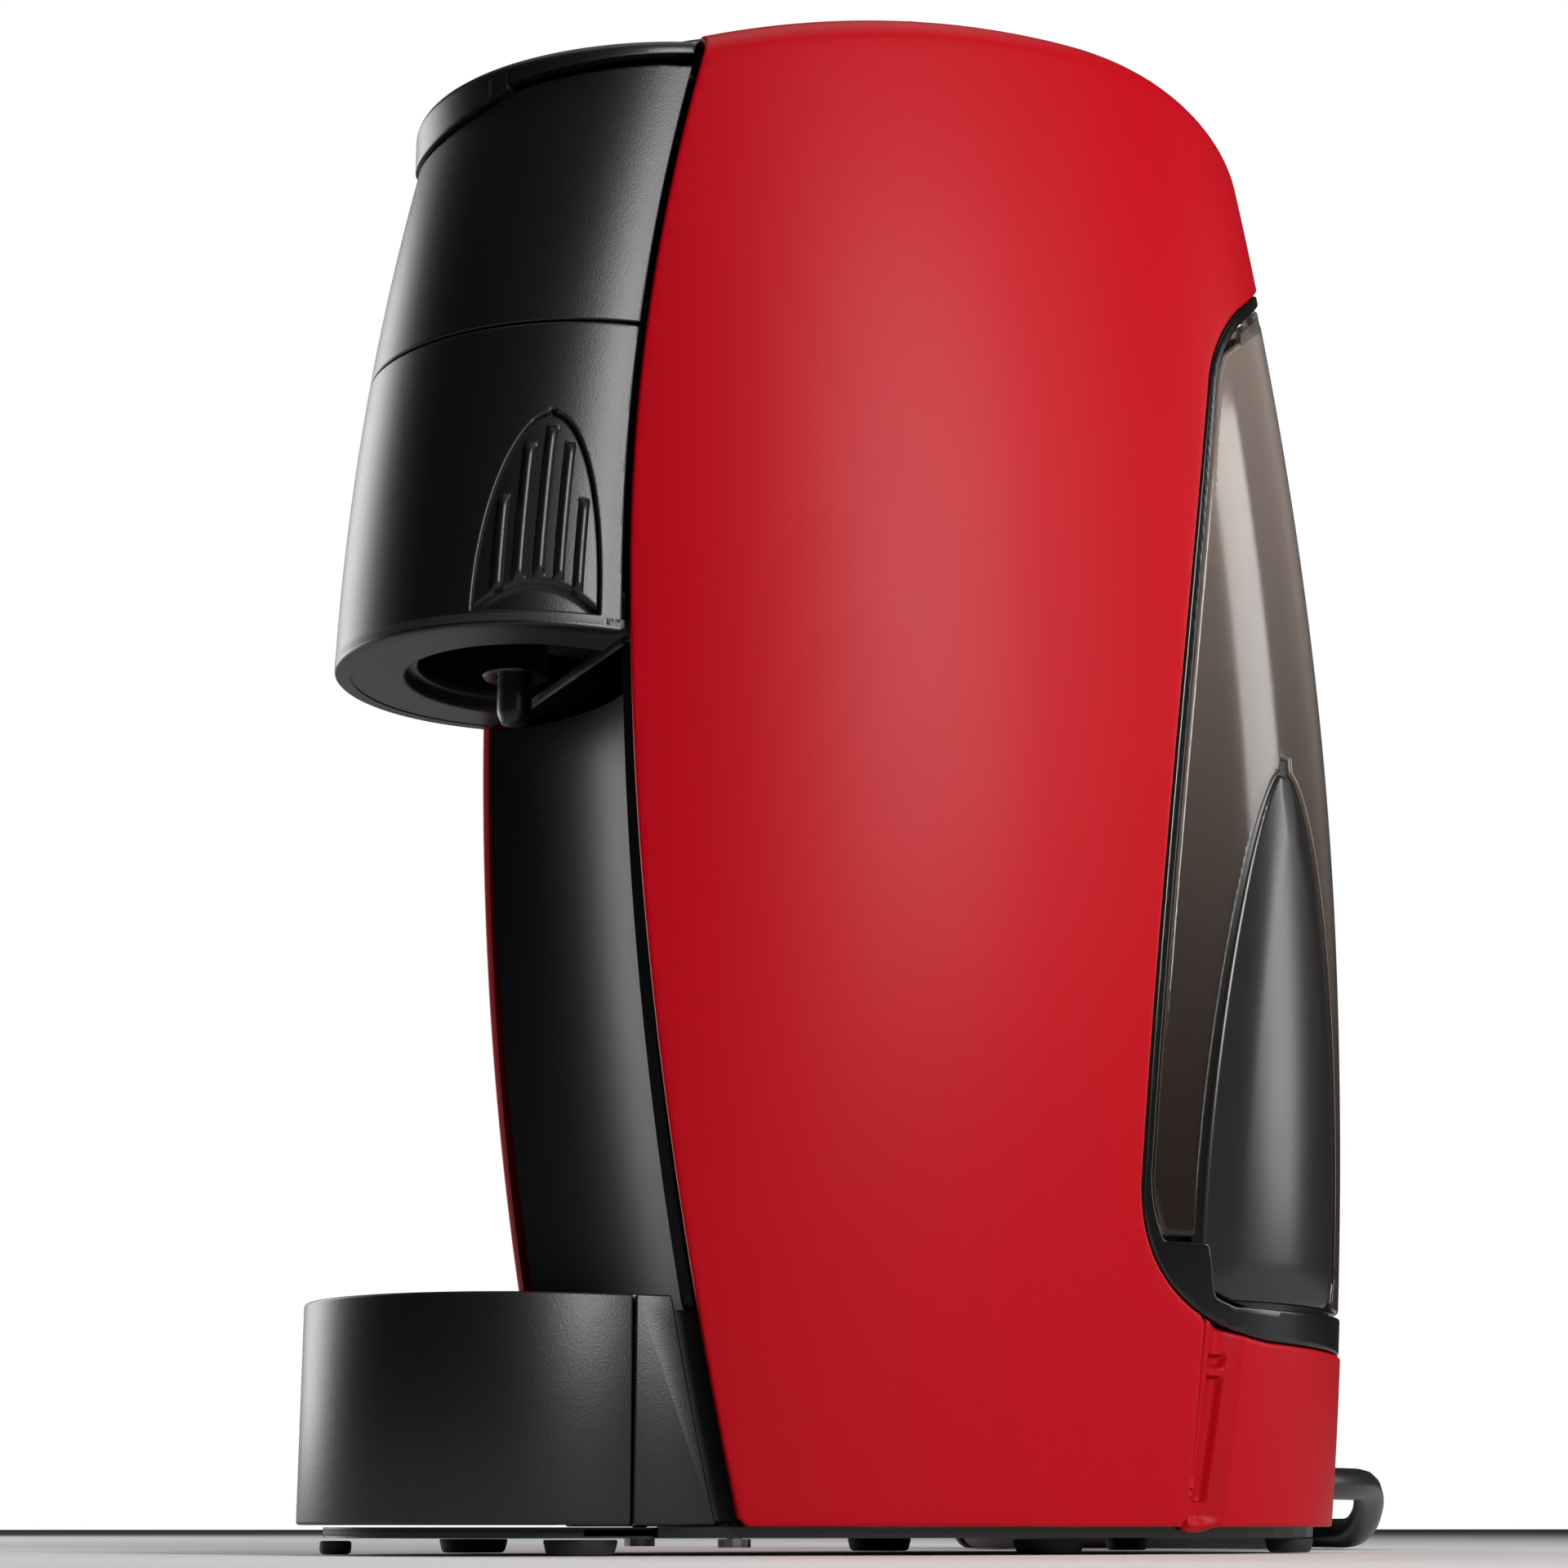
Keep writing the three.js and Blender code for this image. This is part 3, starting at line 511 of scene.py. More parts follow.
def mains_lead():
    route = fine_route(cord_route())
    length = sum(math.dist(a, b) for a, b in zip(route, route[1:])) * MM
    lead = tube("mains_lead", route, CORD_R)
    add(lead, "chassis", "cord", SHEATH, "power_cord", "cord_coil", "cord_tail")

    x, y, z = PLUG
    shell = block("plug", (x - 17, x + 17), (y - 35, y - 3), (z - 9, z + 9))
    bpy.ops.object.mode_set(mode="EDIT")
    bpy.ops.mesh.select_all(action="DESELECT")
    bm = bmesh.from_edit_mesh(shell.data)
    for face in bm.faces:
        face.select = face.normal.y > 0.9
    bmesh.update_edit_mesh(shell.data)
    centre = at(x, y - 3, z)
    bpy.ops.mesh.inset(thickness=0.003)
    bpy.ops.transform.translate(value=(0, 0.0012, 0))
    bpy.ops.mesh.inset(thickness=0.003)
    bpy.ops.transform.resize(value=(0.42, 1, 0.8), center_override=centre)
    bpy.ops.mesh.extrude_region_move(TRANSFORM_OT_translate={"value": (0, 0.0016, 0)})
    bpy.ops.object.mode_set(mode="OBJECT")
    soften(shell, 2.2, 5)
    parts = [shell]
    for k in range(4):
        collar = rod("collar", 5.6 - 0.5 * k, (x, y - 3 + 1.5 * k, z), (x, y - 2 + 1.5 * k, z), 40)
        soften(collar, 0.25, 2)
        parts.append(collar)
    for side in (-1, 1):
        for k in range(5):
            along = (y - 15 - 3 * k, y - 13.6 - 3 * k)
            rib = block("rib", (x + side * 17 - 0.5, x + side * 17 + 0.5), along, (z - 5, z + 5))
            soften(rib, 0.3, 2)
            parts.append(rib)
    shell = joined("plug", parts)
    smooth(shell)
    add(shell, "chassis", "cord", SHEATH, "plug_body")
    pins = []
    for px, pz in ((-9.5, 0), (0, 3), (9.5, 0)):
        pin = rod("pin", 2.4, (x + px, y - 52.6, z + pz), (x + px, y - 34, z + pz), 32)
        soften(pin, 0.7, 3)
        pins.append(pin)
    pins = joined("plug_pins", pins)
    smooth(pins)
    add(pins, "chassis", "brass", CHROME, "plug_contacts")

    boot_profile = [(3.55, 0)]
    for k in range(7):
        r = 5.6 - 0.22 * k
        boot_profile += [(r, 0.2 + 3 * k), (r, 1.9 + 3 * k), (r - 0.7, 2.2 + 3 * k), (r - 0.7, 2.9 + 3 * k)]
    boot_profile += [(4.3, 22.0), (3.55, 23.0), (3.55, 0)]
    boot = spun("strain_relief", boot_profile, 0, 0, 48)
    boot.data.transform(Matrix.Translation(-at(0, 0, 0)))
    boot.data.transform(Matrix.Rotation(-math.pi / 2, 4, "X"))
    boot.data.transform(Matrix.Translation(at(EXIT[0], EXIT[1] + 0.2, EXIT[2])))
    only(boot)
    bpy.ops.object.mode_set(mode="EDIT")
    bpy.ops.mesh.select_all(action="SELECT")
    bpy.ops.mesh.normals_make_consistent(inside=False)
    bpy.ops.object.mode_set(mode="OBJECT")
    smooth(boot, 50)
    add(boot, "chassis", "rubber", RUBBER)

    tie_at = math.radians(250)
    tie_route = []
    for k in range(33):
        a = 2 * math.pi * k / 32
        reach = 38.4 + 8.3 * math.copysign(abs(math.cos(a)) ** 0.7, math.cos(a))
        height = 7.2 + 7.6 * math.copysign(abs(math.sin(a)) ** 0.7, math.sin(a))
        x = COIL[0] + reach * math.cos(tie_at)
        y = COIL[1] + reach * math.sin(tie_at)
        tie_route.append((x, y, max(0.5, height)))
    tie = tube("coil_tie", tie_route, 0.45, 8)
    band = Matrix.Translation(at(COIL[0], COIL[1], 0)) @ Matrix.Rotation(tie_at, 4, "Z")
    tie.data.transform(band.inverted())
    tie.data.transform(Matrix.Diagonal((1, 7, 1, 1)))
    tie.data.transform(band)
    add(tie, "chassis", "rubber", RUBBER)
    [tuple(at(*p)) for p in route]


mains_lead()


# ------------------------------------------------------------------ skins that follow the body's curves
# Double-curved walls are laid out on their own curves: a net is drawn over the surface, trimmed to
# the piece's outline, given a rounded rim and closed with an inner wall.
def net(surface, us, vs, region=None):
    """Places and faces of a net over surface(u, v), trimmed to where region(places) is below 0."""
    u, v = np.meshgrid(us, vs, indexing="ij")
    places = surface(u.ravel(), v.ravel())
    rows, columns = u.shape
    if region is None:
        sides = np.full(len(places), -1.0)
    else:
        sides = region(places)
    inside = sides < 0
    flat_u, flat_v = u.ravel(), v.ravel()
    numbers = np.arange(rows * columns).reshape(rows, columns)
    along = np.stack([numbers[:-1].ravel(), numbers[1:].ravel()], 1)
    across = np.stack([numbers[:, :-1].ravel(), numbers[:, 1:].ravel()], 1)
    edges = np.vstack([along, across])
    edges = edges[inside[edges[:, 0]] != inside[edges[:, 1]]]
    crossing = {}
    points = [places]
    if len(edges):
        a = np.where(inside[edges[:, 0]], edges[:, 0], edges[:, 1])
        b = np.where(inside[edges[:, 0]], edges[:, 1], edges[:, 0])
        low, high = np.zeros(len(a)), np.ones(len(a))

        def between(part):
            along_u = flat_u[a] + (flat_u[b] - flat_u[a]) * part
            along_v = flat_v[a] + (flat_v[b] - flat_v[a]) * part
            return surface(along_u, along_v)

        for _ in range(12):
            mid = (low + high) / 2
            within = region(between(mid)) < 0
            low, high = np.where(within, mid, low), np.where(within, high, mid)
        points.append(between((low + high) / 2))
        for k, (p, q) in enumerate(edges):
            crossing[min(p, q), max(p, q)] = len(places) + k
    points = np.vstack(points)
    faces = []
    for i in range(rows - 1):
        for j in range(columns - 1):
            corners = (numbers[i, j], numbers[i + 1, j], numbers[i + 1, j + 1], numbers[i, j + 1])
            states = [inside[c] for c in corners]
            if all(states):
                faces.append(corners)
                continue
            if not any(states):
                continue
            ring = []
            for k in range(4):
                p, q = corners[k], corners[(k + 1) % 4]
                if states[k]:
                    ring.append(p)
                if states[k] != states[(k + 1) % 4]:
                    ring.append(crossing[min(p, q), max(p, q)])
            if len(ring) > 2:
                faces.append(tuple(ring))
    return points, faces


def sheet_mesh(points, faces, flip=False, merge=0.12):
    used = sorted({c for f in faces for c in f})
    place = {c: k for k, c in enumerate(used)}
    bm = bmesh.new()
    dots = [bm.verts.new(at(*points[c])) for c in used]
    for f in faces:
        ring = [dots[place[c]] for c in f]
        try:
            bm.faces.new(ring[::-1] if flip else ring)
        except ValueError:
            pass
    bmesh.ops.remove_doubles(bm, verts=bm.verts[:], dist=merge * MM)
    bmesh.ops.dissolve_degenerate(bm, edges=bm.edges[:], dist=0.01 * MM)
    loose = [v for v in bm.verts if not v.link_faces]
    bmesh.ops.delete(bm, geom=loose, context="VERTS")
    return bm


def piece_from(bm, name):
    """A new piece that holds the bmesh, which is freed."""
    mesh = bpy.data.meshes.new(name)
    bm.to_mesh(mesh)
    bm.free()
    piece = bpy.data.objects.new(name, mesh)
    scene.collection.objects.link(piece)
    return piece


def rims(bm):
    """For each corner on the sheet's rim: its direction outwards, in the sheet's plane."""
    out = {}
    for edge in bm.edges:
        if len(edge.link_faces) != 1:
            continue
        face = edge.link_faces[0]
        a, b = edge.verts
        way = (b.co - a.co).normalized().cross(face.normal)
        if way.dot(face.calc_center_median() - a.co) > 0:
            way.negate()
        for v in edge.verts:
            out.setdefault(v, []).append(way)
    ways = {}
    for v, found in out.items():
        total = Vector((0, 0, 0))
        for w in found:
            total += w
        n = v.normal
        total -= n * total.dot(n)
        if total.length < 1e-9:
            total = found[0].copy()
        total.normalize()
        reach = max(0.6, min(total.dot(w) for w in found))
        ways[v] = total / reach
    return ways


def wall(name, points, faces, thick, edge=0.7, flip=False, steps=3, merge=0.12):
    """A closed wall: the trimmed net outside, a rounded rim, and the same net set inwards."""
    bm = sheet_mesh(points, faces, flip, merge)
    bm.normal_update()
    ways = rims(bm)
    normals = {v: v.normal.copy() for v in bm.verts}
    starts = {v: v.co.copy() for v in bm.verts}
    outer = list(bm.faces)
    twins = {v: bm.verts.new(starts[v] - normals[v] * thick * MM) for v in list(normals)}
    for face in outer:
        bm.faces.new([twins[v] for v in reversed(face.verts)])
    rows = [{v: v for v in ways}]
    for k in range(1, steps + 1):
        a = math.pi / 2 * k / steps
        rows.append(
            {
                v: bm.verts.new(starts[v] + (w * math.sin(a) - normals[v] * (1 - math.cos(a))) * edge * MM)
                for v, w in ways.items()
            }
        )
    rows.append({v: bm.verts.new(starts[v] + (w * edge - normals[v] * thick) * MM) for v, w in ways.items()})
    rows.append({v: twins[v] for v in ways})
    outer_set = set(outer)
    rim_edges = []
    for face in outer:
        loops = list(face.loops)
        for loop in loops:
            e = loop.edge
            if sum(1 for f in e.link_faces if f in outer_set) == 1:
                rim_edges.append((loop.vert, loop.link_loop_next.vert))
    for a, b in rim_edges:
        for near, far in zip(rows, rows[1:]):
            ring = [near[b], near[a], far[a], far[b]]
            if len(set(ring)) == 4:
                try:
                    bm.faces.new(ring)
                except ValueError:
                    pass
    bmesh.ops.dissolve_degenerate(bm, edges=bm.edges[:], dist=0.002 * MM)
    piece = piece_from(bm, name)
    smooth(piece, 38)
    return piece


# ------------------------------------------------------------------ the body's form, as in the CAD
HALF_WIDTH, WIDEST, FRONT, REAR = 63.0, 88.0, 116.5, 96.0
FLOOR_Z, TOP_Z, TOP_Y, MIDDLE_Z = 5.0, 329.0, 106.0, 155.0
GAP = 0.4
STRIP = 36.4
HINGE = (74.0, 316.5, 10.8)
SHOULDER = math.radians(72.3)


def crown(y):
    return TOP_Z - (y - TOP_Y) ** 2 / np.where(y < TOP_Y, 560.0, 220.0)


def body(inset=0.0, bottom=FLOOR_Z):
    """The outer form, set inwards: u is the angle round it, v goes up the wall and over to the crown."""

    def surface(u, v):
        c, s = np.cos(u), np.sin(u)
        turn = np.clip(v - 1, 0, 1) * SHOULDER
        r = 1 - 0.23 * (1 - np.cos(turn))
        h = np.where(v < 1, v * 0.957, 0.957 + 0.028 * np.sin(turn))
        flat = np.clip(3 - v, 0, 1) * 0.84
        r = np.where(v > 2, flat, r)
        h = np.where(v > 2, 1 - 0.02316 * flat**2, h)
        power = np.where(s > 0, 2 / 2.6, 1.0)
        deep = np.where(s > 0, REAR, FRONT)
        across = np.sign(c) * np.abs(c) ** power * r
        along = np.sign(s) * np.abs(s) ** power * r**0.4
        set_in = inset(u, v) if callable(inset) else inset
        rough = bottom + h * (crown(WIDEST + along * deep) - bottom - set_in)
        barrelled = 1 - 0.129 * ((rough - MIDDLE_Z) / 150) ** 2
        back = np.where(s > 0, (rough - 125) ** 2 / np.where(rough > 125, 1570.0, 2360.0), 0.0)
        y = WIDEST + along * (deep - back - set_in)
        z = bottom + h * (crown(y) - bottom - set_in)
        return np.stack([across * (HALF_WIDTH * barrelled - set_in), y, z], 1)

    return surface


def front_edge(z):
    return 3.8 + (z - 190) ** 2 / np.where(z > 190, 870.0, 1480.0)


def before_edge(p, ahead=0.0):
    """How far a place lies in front of the shells' front edge."""
    slope = 2 * (p[:, 2] - 190) / np.where(p[:, 2] > 190, 870.0, 1480.0)
    return (front_edge(p[:, 2]) - ahead - p[:, 1]) / np.sqrt(1 + slope**2)


def bent(a, b, c, n=14):
    """Points on the parabola from a to c whose sides meet at b."""
    t = np.linspace(0, 1, n)[:, None]
    a, b, c = np.array(a), np.array(b), np.array(c)
    return (1 - t) ** 2 * a + 2 * t * (1 - t) * b + t**2 * c


def tank_outline(i=0.0, lift=0.0):
    low = 41.0 + i + lift
    return np.vstack(
        [
            [[250.0, low - 4]],
            bent((141.0, low), (107.9 + 0.9 * i, low + 3.5), (107.8 + i, 70 + lift)),
            bent((107.8 + i, 70.0 + lift), (113.4 + i, 149.7), (133.6 + i, 246.0))[1:-1],
            bent((133.6 + i, 246.0), (136.2 + i, 257 - 0.5 * i), (146 + 0.6 * i, 266.5 - 0.8 * i)),
            [[250.0, 352.8 - 1.1 * i]],
        ]
    )


def beyond(outline):
    """A measure, below 0 inside a side outline: the distance to it in side view."""
    a = outline
    b = np.roll(outline, -1, axis=0)

    def measure(p):
        y, z = p[:, 1], p[:, 2]
        best = np.full(len(p), 1e9)
        inside = np.zeros(len(p), bool)
        for (ay, az), (by, bz) in zip(a, b):
            dy, dz = by - ay, bz - az
            t = np.clip(((y - ay) * dy + (z - az) * dz) / (dy * dy + dz * dz), 0, 1)
            best = np.minimum(best, (y - ay - t * dy) ** 2 + (z - az - t * dz) ** 2)
            if az != bz:
                hit = (az > z) != (bz > z)
                inside ^= hit & (y < dy * (z - az) / (bz - az) + ay)
        return np.where(inside, -1, 1) * np.sqrt(best)

    return measure


def bay_limit(y):
    return np.where(y < 80, STRIP, np.where(y > 168, 15.0, STRIP - (y - 80) * (STRIP - 15) / 88))


def mirrored(piece, name):
    """A copy on the other side, with its own mesh."""
    twin = piece.copy()
    twin.data = piece.data.copy()
    scene.collection.objects.link(twin)
    twin.name = name
    twin.data.name = name
    twin.data.transform(Matrix.Diagonal((-1, 1, 1, 1)))
    twin.data.flip_normals()
    return twin


WALL_STEPS = np.concatenate([np.linspace(0, 1, 120)[:-1], np.linspace(1, 2, 15)[:-1], np.linspace(2, 3, 26)])
tank_space = beyond(tank_outline())


def rear_seam(z, later=0.0):
    return 119.6 + later + 0.09 * z


def side_shells():
    edge = 0.8

    def region(p):
        x, y, z = p[:, 0], p[:, 1], p[:, 2]
        f = np.maximum(before_edge(p), -tank_space(p))
        f = np.maximum(f, np.where(z > 262, (bay_limit(y) - x) / 1.03, -9))
        f = np.maximum(f, np.where(z < 60, y - rear_seam(z), -9))
        f = np.maximum(f, np.maximum(0.5 - x, FLOOR_Z - z))
        return f + edge

    points, faces = net(body(), np.linspace(-1.25, math.pi / 2, 190), WALL_STEPS, region)
    right = wall("right_shell", points, faces, 2.2, edge)
    left = mirrored(right, "left_shell")
    add(right, "chassis", "red", RED, "right_side_shell")
    add(left, "chassis", "red", RED, "left_side_shell")


side_shells()


# ------------------------------------------------------------------ rear cover with its slotted channel
def rear_cover():
    edge = 0.7

    def sunk(u, v):
        p = PLAIN(u, v)
        y, z = p[:, 1], p[:, 2]
        from_line = y - (122.75 + 0.135 * z)
        gutter = np.clip(1 - np.abs(from_line - 0.3) / 5.6, 0, 1)
        depth = 2.0 * gutter**2 * (3 - 2 * gutter)
        wide = 1.8 + 0.02 * z
        slot = np.clip((wide - np.abs(from_line)) / 0.35, 0, 1)
        slot *= np.clip((z - 9.8) / 0.4, 0, 1) * np.clip((38.6 - z) / 0.4, 0, 1)
        bridge = np.clip((np.abs(z - 35.2) - 0.9) / 0.4, 0, 1)
        return depth * np.clip((z - 4) / 3, 0, 1) + 1.3 * slot * bridge

    def region(p):
        x, y, z = p[:, 0], p[:, 1], p[:, 2]
        f = np.maximum(rear_seam(z, GAP) - y, -tank_space(p))
        f = np.maximum(f, np.maximum(z - 60, FLOOR_Z - z))
        door = np.maximum(np.abs(x + 4) - 10, z - 25)
        f = np.maximum(f, np.where(y > 150, -door, -9))
        return f + edge

    us = np.concatenate(
        [
            np.linspace(0.15, 0.62, 190)[:-1],
            np.linspace(0.62, math.pi - 0.62, 120)[:-1],
            np.linspace(math.pi - 0.62, math.pi - 0.15, 190),
        ]
    )
    points, faces = net(body(sunk), us, np.linspace(0, 0.15, 100), region)
    cover = wall("rear_cover_skin", points, faces, 2.4, edge, merge=0.06)
    add(cover, "chassis", "red", RED, "rear_cover")


PLAIN = body()
rear_cover()


# ------------------------------------------------------------------ tank, its seat and lid
def prism(name, outline, x0, x1):
    """A side outline drawn out across the machine."""
    clear()
    bpy.ops.mesh.primitive_plane_add(size=0.01)
    piece = bpy.context.object
    bm = bmesh.new()
    dots = [bm.verts.new(at(x0, y, z)) for y, z in outline]
    bm.faces.new(dots)
    bm.to_mesh(piece.data)
    bm.free()
    bpy.ops.object.mode_set(mode="EDIT")
    bpy.ops.mesh.select_all(action="SELECT")
    bpy.ops.mesh.extrude_region_move(TRANSFORM_OT_translate={"value": ((x1 - x0) * MM, 0, 0)})
    bpy.ops.mesh.select_all(action="SELECT")
    bpy.ops.mesh.normals_make_consistent(inside=False)
    bpy.ops.object.mode_set(mode="OBJECT")
    return settle(piece, name)


def solid_body(name, inset):
    """The whole outer form as one closed solid."""
    us = np.linspace(0, 2 * math.pi, 161)
    vs = np.concatenate([np.linspace(0, 1, 60)[:-1], np.linspace(1, 2, 12)[:-1], np.linspace(2, 3, 14)])
    points, faces = net(body(inset), us, vs)
    bm = sheet_mesh(points, faces, flip=True, merge=0.05)
    rim = [e for e in bm.edges if len(e.link_faces) == 1]
    bmesh.ops.holes_fill(bm, edges=rim, sides=0)
    bmesh.ops.recalc_face_normals(bm, faces=bm.faces[:])
    return piece_from(bm, name)


def tank_window(p):
    """Where the smoked skin ends below: higher in its front corner, lower under the grip panels."""
    y, z = p[:, 1], p[:, 2]
    step = np.clip((y - 124.2) / 2.4, 0, 1)
    return (60.0 - 12.2 * step * step * (3 - 2 * step)) - z


def ogive(p, grow=0.0):
    """A measure, below 0 inside the tank's pointed grip panel on either side."""
    x, y, z = np.abs(p[:, 0]), p[:, 1], p[:, 2]
    behind = np.clip((y - WIDEST) / (REAR - 2), 0, 1) ** 1.3
    turn = np.degrees(np.arctan2(behind, (np.clip(x, 0.01, 70) / 60.5) ** 1.3))
    rise = np.clip((z - 60) / 101, -1, 0.999)
    half = np.where(rise > 0, 18.7 * (1 - np.clip(rise, 0, 1) ** 1.8) ** 0.62, 18.7)
    f = (np.abs(turn - 35.2) - half) * 1.25
    f = np.maximum(f, 0.55 * (z - 161))
    corner = np.hypot(np.clip(f + 7, 0, None), np.clip(55.6 - z, 0, None)) - 7
    f = np.where((z < 55.6) & (f > -7), corner, np.maximum(f, 48.6 - z))
    return f - grow


def tank():
    seat_outer, seat_inner = beyond(tank_outline(0.35)), beyond(tank_outline(2.7, 2.5))

    def seat_region(p):
        inner = np.maximum(seat_inner(p), tank_window(p))
        return np.maximum(seat_outer(p), -inner) + 0.5

    us = np.linspace(0.02, math.pi - 0.02, 330)
    vs = np.concatenate([np.linspace(0.1, 1, 230)[:-1], np.linspace(1, 2, 15)[:-1], np.linspace(2, 3, 12)])
    points, faces = net(body(0.35), us, vs, seat_region)
    band = wall("seat_band", points, faces, 3.0, 0.5, merge=0.06)
    seat = solid_body("tank_seat", 1.4)
    ring = prism("ring", tank_outline(0.5), -70, 70)
    hollow = prism("hollow", tank_outline(2.75, 2.5), -75, 75)
    cut(ring, hollow)
    cut(seat, ring, operation="INTERSECT")
    cut(seat, rod("drain", 6, (0, 140, 30), (0, 140, 60)))
    smooth(seat, 30)
    seat = joined("tank_seat", [seat, band])
    smooth(seat, 38)
    add(seat, "chassis", "black", GLOSS, "tank_niche")

    lid_line = 225.6 - 5.0
    lid_slope = (358.4 - 225.6) / 160
    within = beyond(tank_outline(3.3, 2.5))

    def below_lid(p, lift=0.0):
        return (p[:, 2] - (lid_line + lift + lid_slope * (p[:, 1] - 100))) * 0.77

    def skin_region(p):
        f = np.maximum(within(p), tank_window(p) + 0.9)
        f = np.maximum(f, below_lid(p))
        return np.maximum(f, -ogive(p, 0.9)) + 0.9

    points, faces = net(body(0.7), us, vs, skin_region)
    skin = wall("tank_skin", points, faces, 2.0, 0.9, steps=4, merge=0.06)
    add(skin, "water_tank", "smoke", SMOKE)

    def panel_region(p):
        return np.maximum(np.maximum(ogive(p), within(p)), 47.6 - p[:, 2]) + 1.1

    def sloped(u, v):
        p = PLAIN(u, v)
        away = np.clip((-ogive(p)) / 9.0, 0, 1)
        return 1.1 - 0.9 * np.sin(away * math.pi / 2)

    across = np.linspace(0.15, math.pi / 2 + 0.05, 200)
    points, faces = net(body(sloped), across, np.linspace(0.1, 0.56, 230), panel_region)
    panel = wall("right_tank_grip", points, faces, 2.6, 1.1, steps=4, merge=0.06)
    twin = mirrored(panel, "left_tank_grip")
    add(panel, "water_tank", "smoke", GRIP)
    add(twin, "water_tank", "smoke", GRIP)

    # the dark lip round each panel, and the vessel's inner walls seen through the skin
    def lip_region(p):
        f = np.maximum(ogive(p, 1.2), -ogive(p, -1.6))
        return np.maximum(f, within(p) + 0.4)

    across = np.linspace(0.12, math.pi / 2 + 0.1, 200)
    points, faces = net(body(1.5), across, np.linspace(0.09, 0.56, 240), lip_region)
    lip = wall("right_grip_lip", points, faces, 1.2, 0.2, steps=1, merge=0.06)
    twin = mirrored(lip, "left_grip_lip")
    lip = joined("grip_lips", [lip, twin])
    add(lip, "water_tank", "black", GLOSS)

    vessel = solid_body("tank_vessel", 3.4)
    room = prism("room", tank_outline(3.3, 2.6), -75, 75)
    cut(vessel, room, operation="INTERSECT")
    water = solid_body("water", 5.0)
    inner = prism("inner", tank_outline(5.4, 2.6), -80, 80)
    cut(water, inner, operation="INTERSECT")
    cut(vessel, water)
    above_lid = [(90, lid_line + lid_slope * -10), (260, lid_line + lid_slope * 160), (260, 420), (90, 420)]
    lid_cut = prism("lid_cut", above_lid, -80, 80)
    cut(vessel, lid_cut)
    cut(vessel, rod("outlet", 3.4, (0, 140, 30), (0, 140, 70)))
    smooth(vessel, 30)
    add(vessel, "water_tank", "smoke", SMOKE, "water_tank")

    def lid_region(p):
        f = np.maximum(beyond_lid(p), -below_lid(p, 0.5))
        return f + 1.2

    beyond_lid = beyond(tank_outline(3.1))
    points, faces = net(body(0.7), us, vs, lid_region)
    cover = wall("tank_lid_cap", points, faces, 2.2, 1.2, steps=4, merge=0.06)
    add(cover, "tank_lid", "smoke", SMOKE)


GRIP = plastic("grip_smoke", (0.016, 0.0145, 0.0135), 0.24, 0.05, 1400.0, 0.03, 0.85, 0.15)
tank()


# ------------------------------------------------------------------ brewing head
HEAD_R, HEAD_Z, SEAM_Z, SEAM_TILT = 41.0, 176.0, 242.1, 0.062
GRIP_TURN = math.radians(70)
GRIP_FOOT, GRIP_TALL, GRIP_HALF = 179.2, 41.8, 12.7
# each rib's middle, foot and top
GRIP_RIBS = (
    (-8.1, 183.4, 203.5),
    (-3.9, 185.6, 214.5),
    (0.25, 186.6, 218.2),
    (4.4, 185.8, 214.8),
    (8.4, 183.6, 203.0),
)


def head_shift(z):
    return np.where(z < HEAD_Z, 0.0, 0.0297 * (z - HEAD_Z) + 0.000871 * (z - HEAD_Z) ** 2)


def head(r, depth=None):
    """The head's upright wall: u is the angle from the front, straight past each side; v is the height."""

    def surface(u, v):
        turn = np.clip(u, -math.pi / 2, math.pi / 2)
        past = np.abs(u) - np.abs(turn)
        reach = r - (depth(u, v) if depth else 0.0)
        return np.stack([reach * np.sin(turn), head_shift(v) - reach * np.cos(turn) + past * r, v], 1)

    return surface


def head_floor(z, start_y=0.0):
    """A level D-shaped floor: u as above, v is the distance from the head's axis."""

    def surface(u, v):
        turn = np.clip(u, -math.pi / 2, math.pi / 2)
        past = np.abs(u) - np.abs(turn)
        y = start_y - v * np.cos(turn) + past * HEAD_R
        level = z(y) if callable(z) else z + 0 * v
        return np.stack([v * np.sin(turn), y, level], 1)

    return surface


def seam(y):
    return SEAM_Z + SEAM_TILT * y - 0.6


def grip_outline(p):
    """A measure, below 0 inside the pointed finger grip on either side of the bin."""
    z = p[:, 2]
    turn = np.arctan2(np.abs(p[:, 0]), head_shift(z) - p[:, 1])
    u = (turn - GRIP_TURN) * HEAD_R
    rise = (z - GRIP_FOOT) / GRIP_TALL
    half = GRIP_HALF * (1 - np.clip(rise, 0, 0.9999) ** 2) ** 0.55
    f = (np.abs(u) - half) * 0.85
    return np.maximum(f, np.maximum(0.7 * (z - GRIP_FOOT - GRIP_TALL), GRIP_FOOT - z))


def grip_floor(u, v):
    """How deep the ribbed floor of the grip lies below the bin's wall."""
    s = (np.abs(u) - GRIP_TURN) * HEAD_R
    scoop = 186.2 - 4.6 * (s / 12) ** 2
    sink = np.clip((scoop - v) / 2.2, 0, 1)
    depth = 1.35 + 1.5 * sink * sink * (3 - 2 * sink)
    rib = 0.0 * v
    for middle, low, high in GRIP_RIBS:
        across = np.clip(1 - ((s - middle) / 1.15) ** 2, 0, 1)
        ends = np.clip((v - low) / 1.6, 0, 1) * np.clip((high - v) / 2.4, 0, 1)
        rib = np.maximum(rib, np.sqrt(across) * np.sqrt(ends) * 1.15)
    return depth - rib


